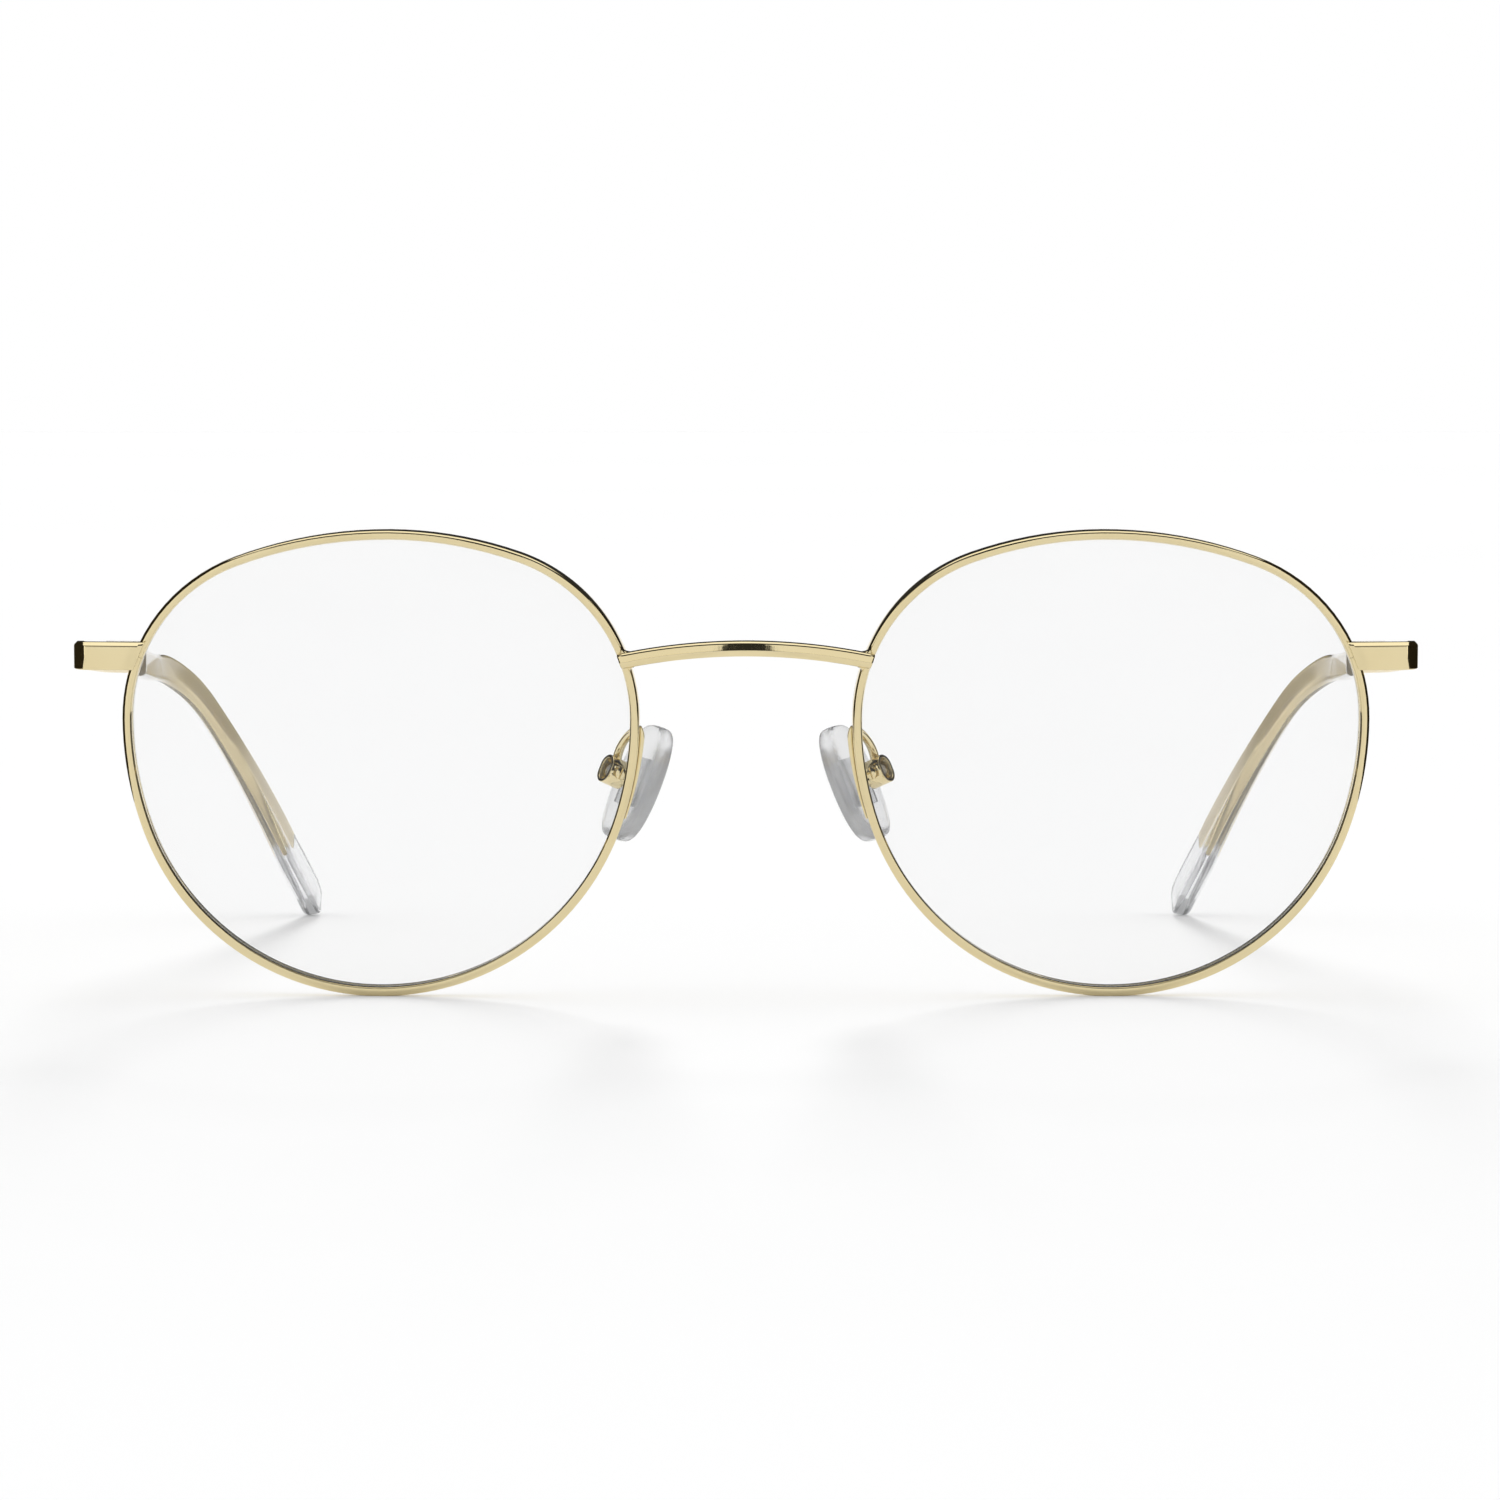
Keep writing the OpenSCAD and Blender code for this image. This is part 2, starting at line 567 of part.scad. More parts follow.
// Silicone pad: an oblong with rounded ends, a full face towards the nose and a flatter back
module nose_pad() {
    steps = 14;
    face = 0.56;
    rings = [for (i = [0 : steps]) let (a = 8 + i * 164 / steps, z = -pad_len / 2 * cos(a), r = sin(a),
        w = pad_w / 2 * pow(r, 0.48) * (1 - 0.06 * z / pad_len), h = pad_t * pow(r, 0.42))
        [for (j = [0 : 15]) let (b = -j * 22.5, flat = sign(sin(b)) * pow(abs(sin(b)), 0.8))
            [-pad_off + h * (flat < 0 ? face : 1 - face) * flat, w * cos(b), z]]];
    color("#f2f4f3", 0.6) pad_space() difference() {
        loft(rings);
        insert_body(braze);
    }
}

// ---- Hinges ----

knuckle = (barrel_h - 2 * face_gap) / 3;
inner_x = half_w - end_t - braze;

// A knuckle from z0 to z1 with its web; way = -1 towards the front, 1 towards the temple
module knuckle(z0, z1, way) {
    translate([hinge_x, hinge_y, hinge_z]) union() {
        upright(barrel_d / 2, z0, z1);
        box_at([0, min(0, way * 2.6), z0], [inner_x - hinge_x, max(0, way * 2.6), z1]);
    }
}
module leaf(way) {
    near = barrel_d / 2 + 0.3;
    translate([0, hinge_y, hinge_z]) box_at(
        [inner_x - leaf_t, min(way * near, way * (near + leaf_len)), -end_h / 2 + 0.25],
        [inner_x, max(way * near, way * (near + leaf_len)), end_h / 2 - 0.25]);
}
module front_hinge() {
    color(gold) difference() {
        union() {
            knuckle(-barrel_h / 2, -barrel_h / 2 + knuckle, -1);
            knuckle(barrel_h / 2 - knuckle, barrel_h / 2, -1);
            leaf(-1);
        }
        translate([hinge_x, hinge_y, hinge_z]) upright(hinge_screw_d / 2 + hold_clear, -barrel_h, barrel_h);
    }
}
module temple_hinge() {
    color(gold) difference() {
        union() {
            knuckle(-knuckle / 2, knuckle / 2, 1);
            leaf(1);
        }
        translate([hinge_x, hinge_y, hinge_z]) upright(hinge_screw_d / 2 + run_clear, -barrel_h, barrel_h);
    }
}
module hinge_screw() {
    top = barrel_h / 2 + hold_clear;
    head_h = 0.3;
    color(steel) translate([hinge_x, hinge_y, hinge_z]) difference() {
        union() {
            upright(hinge_screw_d / 2, -barrel_h / 2, top);
            upright(barrel_d / 2 - 0.1, top, top + head_h);
        }
        box_at([-2, -0.15, top + head_h / 2], [2, 0.15, top + 1]);
    }
}

// ---- Temples ----

module temple_arm() {
    start = hinge_y + face_gap / 2;
    from = flat_len - temple_len;
    joint = strip_ring(from);
    stations = concat([from, -sleeve_lead, -curl_lead], [for (i = [0 : 7]) i * bend_len / 7],
        [bend_len + 7, bend_len + 14, core_end - 1, core_end]);
    color(gold) union() {
        translate([half_w - arm_t, 0, 0]) rotate([90, 0, 90]) linear_extrude(arm_t)
            polygon([[start, hinge_z + arm_h / 2], [start, hinge_z - arm_h / 2],
                [joint[2][1], joint[2][2]], [joint[0][1], joint[0][2]]]);
        loft([for (t = stations) strip_ring(t)]);
    }
}
module temple_tip() {
    stations = concat([-sleeve_lead - 1, -curl_lead], [for (i = [0 : 7]) i * bend_len / 7],
        [bend_len + 7, bend_len + 14, core_end - 1, core_end + 0.1]);
    color("#dfe3e2", 0.5) difference() {
        loft(tip_rings);
        loft([for (t = stations) strip_ring(t, hold_clear)]);
    }
}

side() rim();  // rim_left
side(true) rim();  // rim_right
side() lens();  // lens_left
side(true) lens();  // lens_right
side() bridge();
side() endpiece();  // endpiece_left
side(true) endpiece();  // endpiece_right
side() closing(1);  // closing_upper_left
side(true) closing(1);  // closing_upper_right
side() closing(-1);  // closing_lower_left
side(true) closing(-1);  // closing_lower_right
side() rim_screw();  // rim_screw_left
side(true) rim_screw();  // rim_screw_right
side() pad_arm();  // pad_arm_left
side(true) pad_arm();  // pad_arm_right
side() pad_box();  // pad_box_left
side(true) pad_box();  // pad_box_right
side() pad_screw();  // pad_screw_left
side(true) pad_screw();  // pad_screw_right
side() pad_insert();  // pad_insert_left
side(true) pad_insert();  // pad_insert_right
side() nose_pad();  // nose_pad_left
side(true) nose_pad();  // nose_pad_right
side() front_hinge();  // front_hinge_left
side(true) front_hinge();  // front_hinge_right
side() hinge_screw();  // hinge_screw_left
side(true) hinge_screw();  // hinge_screw_right
side() temple_hinge();  // temple_hinge_left
side(true) temple_hinge();  // temple_hinge_right
side() temple_arm();  // temple_arm_left
side(true) temple_arm();  // temple_arm_right
side() temple_tip();  // temple_tip_left
side(true) temple_tip();  // temple_tip_right
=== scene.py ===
import json
from math import asin, atan2, ceil, cos, degrees, hypot, pi, radians, sin, sqrt, tan

import bmesh
import bpy
from mathutils import Matrix, Vector


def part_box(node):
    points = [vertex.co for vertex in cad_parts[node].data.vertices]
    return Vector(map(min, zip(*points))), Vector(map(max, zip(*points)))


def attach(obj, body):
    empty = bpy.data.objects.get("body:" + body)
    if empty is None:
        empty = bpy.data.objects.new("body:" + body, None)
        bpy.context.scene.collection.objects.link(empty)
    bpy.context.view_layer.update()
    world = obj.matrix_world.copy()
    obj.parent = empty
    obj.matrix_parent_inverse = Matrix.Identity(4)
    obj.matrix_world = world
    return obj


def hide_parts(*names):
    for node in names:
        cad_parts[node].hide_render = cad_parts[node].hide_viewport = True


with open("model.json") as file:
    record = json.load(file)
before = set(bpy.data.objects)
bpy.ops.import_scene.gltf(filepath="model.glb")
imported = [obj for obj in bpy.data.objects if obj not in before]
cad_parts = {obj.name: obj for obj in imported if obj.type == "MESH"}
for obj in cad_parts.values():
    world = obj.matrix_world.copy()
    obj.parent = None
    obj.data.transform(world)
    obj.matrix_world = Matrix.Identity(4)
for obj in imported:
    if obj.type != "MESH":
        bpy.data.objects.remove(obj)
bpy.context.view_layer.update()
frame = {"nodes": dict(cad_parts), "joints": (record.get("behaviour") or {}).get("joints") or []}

MM = 0.001
SIDES = ("left", "right")


def joint_place(name):
    """Where a joint's axis is, in millimetres."""
    return next(Vector(joint["pos_m"]) / MM for joint in frame["joints"] if joint["name"] == name)


# ---- Sizes of the glasses ----

LENS_W, LENS_H, LENS_GAP, LENS_T = 50.5, 45.7, 22.1, 1.6
LENS_FRONT_R, BEVEL_W = 130.0, 0.7
RIM_T, RIM_D, GROOVE, RIM_EDGE = 0.92, 1.8, 0.42, 0.24
WRAP, LEAN, SLOPE = radians(4), radians(6), radians(2.6)
RIM_OUT = RIM_T - GROOVE
BRAZE_GAP = 0.02
HALF_LENS_X = LENS_W / 2 + LENS_GAP / 2
FRONT_DEPTH, FRONT_HEIGHT = -66.4326, 23.0246

# ---- Workshop helpers: spaces, sections and skins ----

# From the front's space to the left lens's own
FRONT_TO_LENS = Matrix.Translation((-HALF_LENS_X, 0, 0)) @ Matrix.Rotation(-WRAP, 4, "Z")


def frame_space():
    """Space of the leaning front, from the middle between the lenses."""
    return Matrix.Translation((0, FRONT_DEPTH, FRONT_HEIGHT)) @ Matrix.Rotation(LEAN, 4, "X")


def lens_space():
    """Space of the wearer's left lens: x towards the temple, y back, z up."""
    return frame_space() @ Matrix.Rotation(WRAP, 4, "Z") @ Matrix.Translation((HALF_LENS_X, 0, 0))


def rounded(corners, steps=4):
    """A closed outline whose (x, y, radius) corners are rounded."""
    points = []
    for i, (x, y, r) in enumerate(corners):
        here = Vector((x, y))
        back = (Vector(corners[i - 1][:2]) - here).normalized()
        ahead = (Vector(corners[(i + 1) % len(corners)][:2]) - here).normalized()
        half = back.angle(ahead) / 2
        centre = here + (back + ahead).normalized() * (r / sin(half))
        start = here + back * (r / tan(half)) - centre
        end = here + ahead * (r / tan(half)) - centre
        first, turn = atan2(start.y, start.x), atan2(end.y, end.x) - atan2(start.y, start.x)
        turn = (turn + pi) % (2 * pi) - pi
        for k in range(steps + 1):
            angle = first + turn * k / steps
            points.append(centre + Vector((cos(angle), sin(angle))) * r)
    return points


def oblong(h, w, edge, steps):
    """A rounded oblong outline from its half height, half width and edge radius."""
    return rounded([(h, w, edge), (-h, w, edge), (-h, -w, edge), (h, -w, edge)], steps)


def spread(points, gap):
    """The same outline with points added along sides that are longer than gap."""
    out = []
    for i, p in enumerate(points):
        q = points[(i + 1) % len(points)]
        n = max(1, ceil((q - p).length / gap))
        out += [p.lerp(q, k / n) for k in range(n)]
    return out


def skin(name, rings, turn=None, mirror=False, sharp=38.0):
    """A mesh skinned over rings of points in millimetres and capped at both ends."""
    turn = turn or Matrix.Identity(4)
    flip = Matrix.Scale(-1, 4, (1, 0, 0)) if mirror else Matrix.Identity(4)
    place = flip @ turn
    n = len(rings[0])
    verts = [(place @ Vector(p)) * MM for ring in rings for p in ring]
    faces = []
    for i in range(len(rings) - 1):
        a, b = i * n, (i + 1) * n
        faces += [(a + j, b + j, b + (j + 1) % n, a + (j + 1) % n) for j in range(n)]
    faces += [tuple(range(n)), tuple(range(len(verts) - n, len(verts)))]
    return solid(name, verts, faces, sharp)


def solid(name, verts, faces, sharp):
    """A smooth-shaded object from points in metres; edges over sharp degrees stay creased."""
    mesh = bpy.data.meshes.new(name)
    mesh.from_pydata(verts, [], faces)
    work = bmesh.new()
    work.from_mesh(mesh)
    bmesh.ops.remove_doubles(work, verts=work.verts, dist=1e-7)
    bmesh.ops.recalc_face_normals(work, faces=work.faces)
    work.to_mesh(mesh)
    work.free()
    mesh.shade_smooth()
    mesh.set_sharp_from_angle(angle=radians(sharp))
    piece = bpy.data.objects.new(name, mesh)
    bpy.context.scene.collection.objects.link(piece)
    return piece


# ---- Lens outline: four quarters, each of two tangent arcs ----

TOP_X, LOW_X, OUTER_Z, NOSE_Z = -1.0, 0.4, 4.3, 4.7


def quarter(sx, sz, ox, oz, a, b, k):
    """Both arcs of a quarter: [centre x, centre z, radius, start angle, sweep] in degrees."""
    if a < b:
        flat_r, side_r = k * a, (a * a + b * b - 2 * b * k * a) / (2 * (a - k * a))
    else:
        flat_r, side_r = (a * a + b * b - 2 * a * k * b) / (2 * (b - k * b)), k * b
    if flat_r > side_r:
        meet = degrees(atan2(flat_r - b, a - side_r))
    else:
        meet = degrees(atan2(b - flat_r, side_r - a))
    turn = (0 if sz > 0 else 270) if sx > 0 else (90 if sz > 0 else 180)
    flip = sx * sz < 0
    return [(ox + sx * (a - side_r), oz, side_r, turn + (90 - meet if flip else 0), meet),
            (ox, oz + sz * (b - flat_r), flat_r, turn + (0 if flip else meet), 90 - meet)]


outer_top = quarter(1, 1, TOP_X, OUTER_Z, LENS_W / 2 - TOP_X, LENS_H / 2 - OUTER_Z, 0.907)
nose_top = quarter(-1, 1, TOP_X, NOSE_Z, LENS_W / 2 + TOP_X, LENS_H / 2 - NOSE_Z, 0.933)
nose_low = quarter(-1, -1, LOW_X, NOSE_Z, LENS_W / 2 + LOW_X, LENS_H / 2 + NOSE_Z, 0.985)
outer_low = quarter(1, -1, LOW_X, OUTER_Z, LENS_W / 2 - LOW_X, LENS_H / 2 + OUTER_Z, 0.98)
WALK = [outer_top[0], outer_top[1], nose_top[1], nose_top[0],
        nose_low[0], nose_low[1], outer_low[1], outer_low[0]]


def on_arc(arc, angle, grow):
    """A point at an angle on an arc of the outline that is moved outwards by grow."""
    r = arc[2] + grow
    return arc[0] + r * cos(radians(angle)), arc[1] + r * sin(radians(angle))


def walk_angles(step=2.2):
    """Every station around the lens as (arc, angle)."""
    out = []
    for arc in WALK:
        n = max(4, ceil(arc[4] / step))
        out += [(arc, arc[3] + arc[4] * j / n) for j in range(n)]
    return out


def between(t, a, b):
    """Share of the way from a to b, from 0 to 1."""
    return min(1.0, max(0.0, (t - a) / (b - a)))


def crossing(low, high, is_past):
    """The place between low and high beyond which is_past holds, found by halving."""
    for _ in range(40):
        middle = (low + high) / 2
        if is_past(middle):
            high = middle
        else:
            low = middle
    return low


def around(arc, angle, section):
    """A section of (outwards, depth) points placed on an arc, in lens space."""
    ring = []
    for x, y in section:
        px, pz = on_arc(arc, angle, x)
        ring.append((px, y, pz))
    return ring


# ---- Finishes ----


def new_group(name, inputs, outputs):
    """An empty shader node group with named float, vector and colour sockets."""
    group = bpy.data.node_groups.new(name, "ShaderNodeTree")
    for label, kind, value in inputs:
        socket = group.interface.new_socket(label, in_out="INPUT", socket_type="NodeSocket" + kind)
        if value is not None:
            socket.default_value = value
    for label, kind in outputs:
        group.interface.new_socket(label, in_out="OUTPUT", socket_type="NodeSocket" + kind)
    return group, group.nodes.new("NodeGroupInput"), group.nodes.new("NodeGroupOutput")


def maths(tree, kind, a, b=None):
    """A Math node; a and b are sockets or numbers."""
    node = tree.nodes.new("ShaderNodeMath")
    node.operation = kind
    for i, value in enumerate((a, b)):
        if value is None:
            continue
        if isinstance(value, (int, float)):
            node.inputs[i].default_value = value
        else:
            tree.links.new(value, node.inputs[i])
    return node.outputs[0]


def noise(tree, vector, scale, detail, rough):
    """A Noise node's value; vector and scale are sockets."""
    node = tree.nodes.new("ShaderNodeTexNoise")
    tree.links.new(vector, node.inputs["Vector"])
    tree.links.new(scale, node.inputs["Scale"])
    node.inputs["Detail"].default_value = detail
    node.inputs["Roughness"].default_value = rough
    return node.outputs["Fac"]


def ramp(tree, value, low, high, out_low=0.0, out_high=1.0):
    """Maps a value between two levels, smoothly."""
    node = tree.nodes.new("ShaderNodeMapRange")
    node.interpolation_type = "SMOOTHSTEP"
    tree.links.new(value, node.inputs["Value"])
    for label, level in (("From Min", low), ("From Max", high),
                         ("To Min", out_low), ("To Max", out_high)):
        node.inputs[label].default_value = level
    return node.outputs["Result"]


def build_tone_group():
    """Slow drift between two colours, as in plating or cast plastic."""
    group, gin, gout = new_group(
        "tone_drift",
        [("Colour A", "Color", None), ("Colour B", "Color", None), ("Scale", "Float", 60.0)],
        [("Colour", "Color"), ("Mask", "Float")])
    place = group.nodes.new("ShaderNodeTexCoord").outputs["Object"]
    mask = ramp(group, noise(group, place, gin.outputs["Scale"], 4.0, 0.55), 0.35, 0.65)
    mix = group.nodes.new("ShaderNodeMix")
    mix.data_type = "RGBA"
    group.links.new(mask, mix.inputs["Factor"])
    group.links.new(gin.outputs["Colour A"], mix.inputs["A"])
    group.links.new(gin.outputs["Colour B"], mix.inputs["B"])
    group.links.new(mix.outputs["Result"], gout.inputs["Colour"])
    group.links.new(mask, gout.inputs["Mask"])
    return group


def build_handling_group():
    """Roughness of a handled surface: faint smears over an even polish."""
    group, gin, gout = new_group(
        "handling_marks",
        [("Polish", "Float", 0.1), ("Smear", "Float", 0.2), ("Scale", "Float", 180.0)],
        [("Roughness", "Float"), ("Mask", "Float")])
    place = group.nodes.new("ShaderNodeTexCoord").outputs["Object"]
    broad = noise(group, place, gin.outputs["Scale"], 2.0, 0.6)
    fine = noise(group, place, maths(group, "MULTIPLY", gin.outputs["Scale"], 9.0), 3.0, 0.7)
    mask = ramp(group, maths(group, "MULTIPLY", broad, maths(group, "ADD", fine, 0.5)), 0.4, 0.75)
    span = maths(group, "SUBTRACT", gin.outputs["Smear"], gin.outputs["Polish"])
    rough = maths(group, "ADD", gin.outputs["Polish"], maths(group, "MULTIPLY", span, mask))
    group.links.new(rough, gout.inputs["Roughness"])
    group.links.new(mask, gout.inputs["Mask"])
    return group


def build_polish_group():
    """Height of fine polishing lines along the piece, with a slight ripple under them."""
    group, gin, gout = new_group(
        "polish_lines",
        [("Scale", "Float", 2500.0), ("Stretch", "Vector", (1.0, 1.0, 0.08)),
         ("Ripple", "Float", 0.4)],
        [("Height", "Float")])
    place = group.nodes.new("ShaderNodeTexCoord").outputs["Object"]
    stretch = group.nodes.new("ShaderNodeVectorMath")
    stretch.operation = "MULTIPLY"
    group.links.new(place, stretch.inputs[0])
    group.links.new(gin.outputs["Stretch"], stretch.inputs[1])
    lines = noise(group, stretch.outputs["Vector"], gin.outputs["Scale"], 3.0, 0.6)
    swell = noise(group, place, maths(group, "MULTIPLY", gin.outputs["Scale"], 0.12), 2.0, 0.5)
    total = maths(group, "ADD", lines, maths(group, "MULTIPLY", swell, gin.outputs["Ripple"]))
    group.links.new(total, gout.inputs["Height"])
    return group


TONE, HANDLING, POLISH = build_tone_group(), build_handling_group(), build_polish_group()


def place_group(tree, group, **values):
    """A shader group placed in a tree, with its own values."""
    node = tree.nodes.new("ShaderNodeGroup")
    node.node_tree = group
    for label, value in values.items():
        node.inputs[label.replace("_", " ")].default_value = value
    return node


def finish_of(name, colours, tone_scale, polish, smear, lines, bump, stretch=(1.0, 1.0, 0.08),
              **fixed):
    """A Principled material with drifting tone, handling marks and fine polish lines.

    fixed holds values set directly on the shader's own sockets."""
    material = bpy.data.materials.new(name)
    material.use_nodes = True
    tree = material.node_tree
    shader = tree.nodes["Principled BSDF"]
    tone = place_group(tree, TONE, Colour_A=(*colours[0], 1), Colour_B=(*colours[1], 1),
                       Scale=tone_scale)
    marks = place_group(tree, HANDLING, Polish=polish, Smear=smear)
    grain = place_group(tree, POLISH, Scale=lines, Stretch=stretch)
    bumped = tree.nodes.new("ShaderNodeBump")
    bumped.inputs["Strength"].default_value = bump
    bumped.inputs["Distance"].default_value = MM
    tree.links.new(tone.outputs["Colour"], shader.inputs["Base Color"])
    tree.links.new(marks.outputs["Roughness"], shader.inputs["Roughness"])
    tree.links.new(grain.outputs["Height"], bumped.inputs["Height"])
    tree.links.new(bumped.outputs["Normal"], shader.inputs["Normal"])
    for label, value in fixed.items():
        shader.inputs[label.replace("_", " ")].default_value = value
    return material


gold = finish_of(
    "pale_gold_plating", ((0.765, 0.655, 0.395), (0.745, 0.63, 0.37)), tone_scale=90.0,
    polish=0.05, smear=0.10, lines=2600.0, bump=0.004, Metallic=1.0)
satin_gold = finish_of(
    "satin_gold_strip", ((0.86, 0.72, 0.41), (0.84, 0.69, 0.38)), tone_scale=90.0,
    polish=0.28, smear=0.38, lines=2600.0, bump=0.01, stretch=(1.0, 0.08, 1.0), Metallic=1.0)
steel = finish_of(
    "screw_steel_turned", ((0.62, 0.61, 0.58), (0.52, 0.51, 0.48)), tone_scale=300.0,
    polish=0.22, smear=0.34, lines=4200.0, bump=0.05, Metallic=1.0)
crystal = finish_of(
    "crystal_acetate", ((0.93, 0.935, 0.945), (0.90, 0.905, 0.915)), tone_scale=40.0,
    polish=0.03, smear=0.08, lines=900.0, bump=0.003,
    Metallic=0.0, Transmission_Weight=0.90, IOR=1.44)
silicone = finish_of(
    "nose_pad_silicone", ((0.955, 0.96, 0.965), (0.93, 0.935, 0.945)), tone_scale=250.0,
    polish=0.10, smear=0.24, lines=3200.0, bump=0.04, stretch=(1.0, 1.0, 1.0),
    Metallic=0.0, Transmission_Weight=0.9, IOR=1.41)
pad_core = finish_of(
    "pad_core_plastic", ((0.90, 0.91, 0.92), (0.84, 0.85, 0.87)), tone_scale=400.0,
    polish=0.12, smear=0.24, lines=2000.0, bump=0.03,
    Metallic=0.0, Transmission_Weight=0.85, IOR=1.5)

# How much of what is behind a lens it hides, face on and at a grazing view
LENS_TINT, GRAZING_TINT = 0.05, 0.25


def build_lens_glass():
    """Coated lens: nearly clear face on, and glossier towards its edges."""
    material = finish_of(
        "coated_lens", ((0.45, 0.46, 0.48), (0.41, 0.42, 0.44)), tone_scale=30.0,
        polish=0.02, smear=0.06, lines=700.0, bump=0.002, Metallic=0.0, IOR=1.5)
    tree = material.node_tree
    gloss = tree.nodes.new("ShaderNodeFresnel")
    gloss.inputs["IOR"].default_value = 1.35
    alpha = ramp(tree, gloss.outputs["Fac"], 0.0, 1.0, LENS_TINT, GRAZING_TINT)
    tree.links.new(alpha, tree.nodes["Principled BSDF"].inputs["Alpha"])
    return material


lens_glass = build_lens_glass()


def finish(piece, material, body, slot, *nodes):
    """Gives a new piece its material and its body, and hides the nodes it stands for. The slot
    argument is not used.
    """
    piece.data.materials.append(material)
    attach(piece, body)
    if nodes:
        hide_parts(*nodes)
    return piece


# ---- Rims ----

END_Z = 10.7
SPLIT_SHOWN = 0.04
# Radius of the wire's outer front edge and width of its inner chamfer, and how much less of each
# there is at the foot
FRONT_EDGE, FRONT_EDGE_LESS = 0.34, 0.22
INNER_CUT, INNER_CUT_LESS = 0.15, 0.11


def rim_section(front_edge, cut):
    """Section of the rim wire: lens groove, slight crown in front and a steep inner chamfer."""
    d, lip, cut_depth, crown = RIM_D / 2, 0.26, 0.32, 0.05
    outline = rounded([
        (0.02, 0, 0.05), (-GROOVE, -lip, 0.03), (-GROOVE, cut_depth - d, 0.05),
        (cut - GROOVE, -d, 0.04), ((RIM_OUT - GROOVE) / 2, -d - crown, 1.4),
        (RIM_OUT, -d, front_edge), (RIM_OUT, d, RIM_EDGE),
        (-GROOVE, d, 0.11), (-GROOVE, lip, 0.03)], 6)
    return [(p.x, p.y) for p in outline]


def make_rim(side):
    """Grooved wire that starts above the split behind the end piece and ends below it."""
    first = WALK[0]
    mid = degrees(asin((END_Z - first[1]) / (first[2] + RIM_OUT)))
    gap = degrees(SPLIT_SHOWN / 2 / (first[2] + RIM_OUT))
    top = [(first, mid + gap + (first[4] - mid - gap) * j / 12) for j in range(12)]
    rest = [s for s in walk_angles() if s[0] is not first]
    end = [(first, (mid - gap) * j / 6) for j in range(7)]
    rings = []
    for arc, angle in top + rest + end:
        foot = between(-sin(radians(angle)), 0.4, 0.9)
        edge, cut = FRONT_EDGE - FRONT_EDGE_LESS * foot, INNER_CUT - INNER_CUT_LESS * foot
        rings.append(around(arc, angle, rim_section(edge, cut)))
    wire = skin("rim_wire_" + side, rings, turn=lens_space(), mirror=side == "right")
    return finish(wire, gold, "front", "pale_gold", "rim_" + side)


# ---- Lenses ----


def make_lens(side):
    """Meniscus lens whose bevel sits in the rim's groove."""
    seat, chamfer = GROOVE + 0.05, 0.08
    mid_r = LENS_FRONT_R - LENS_T / 2
    centre_y = sqrt(mid_r ** 2 - ((LENS_W + LENS_H) / 4) ** 2)
    places = walk_angles(3.0)

    def flat_ring(grow, y):
        return [(x, y, z) for x, z in (on_arc(arc, angle, grow) for arc, angle in places)]

    def face_ring(grow, share, radius):
        """A ring on a spherical face, shrunk towards the lens's middle to a share of its size."""
        points = []
        for arc, angle in places:
            x, z = (share * value for value in on_arc(arc, angle, grow))
            points.append((x, centre_y - sqrt(radius ** 2 - x * x - z * z), z))
        return points

    front_r, back_r = LENS_FRONT_R, LENS_FRONT_R - LENS_T
    shares = [0.04, 0.18, 0.34, 0.5, 0.66, 0.8, 0.92]
    bevel = [(-seat, BEVEL_W / 2), (-GROOVE + 0.02, 0.2), (-0.05, 0.03)]
    front = [face_ring(-seat - chamfer, share, front_r) for share in shares + [1.0]]
    edge = [face_ring(-seat, 1.0, front_r - chamfer)]
    edge += [flat_ring(grow, -y) for grow, y in bevel]
    edge += [flat_ring(grow, y) for grow, y in bevel[::-1]]
    edge.append(face_ring(-seat, 1.0, back_r + chamfer))
    back = [face_ring(-seat - chamfer, share, back_r) for share in [1.0] + shares[::-1]]
    lens = skin("lens_glass_" + side, front + edge + back, turn=lens_space(),
                mirror=side == "right", sharp=30.0)
    return finish(lens, lens_glass, "front", "lens", "lens_" + side)


# ---- Bridge ----

BRIDGE_H, BRIDGE_D, BRIDGE_RISE, BRIDGE_BOW, BRIDGE_Z = 1.5, 1.6, 1.6, 0.9, 10.45
BRIDGE_FRONT = 0.5
BRIDGE_REACH = LENS_GAP / 2 + 2.2
BRIDGE_SAG = hypot(BRIDGE_RISE, BRIDGE_BOW)
BRIDGE_R = (BRIDGE_REACH ** 2 + BRIDGE_SAG ** 2) / (2 * BRIDGE_SAG)
BRIDGE_TILT = atan2(BRIDGE_BOW, BRIDGE_RISE)


def bridge_point(angle, up, deep):
    """A point on the bar, in the front's space; angle is from the arch's top towards the left."""
    rise = up * cos(-BRIDGE_TILT) - deep * sin(-BRIDGE_TILT)
    back = up * sin(-BRIDGE_TILT) + deep * cos(-BRIDGE_TILT)
    r = BRIDGE_R + rise
    x, z, y = r * sin(angle), r * cos(angle) + BRIDGE_SAG - BRIDGE_R, -back
    c, s = cos(BRIDGE_TILT), sin(BRIDGE_TILT)
    return Vector((x, y * c - z * s - BRIDGE_FRONT, y * s + z * c + BRIDGE_Z))


def inside(arc, point, grow):
    """How far a point in the front's space is inside an arc of the lens moved outwards by grow."""
    p = FRONT_TO_LENS @ point
    return arc[2] + grow - hypot(p.x - arc[0], p.z - arc[1])


def bridge_end(up, deep, grow):
    """Angle at which a line along the bar meets the lens outline moved outwards by grow."""
    return crossing(0.0, 0.5, lambda angle:
                    inside(nose_top[0], bridge_point(angle, up, deep), grow) > 0)


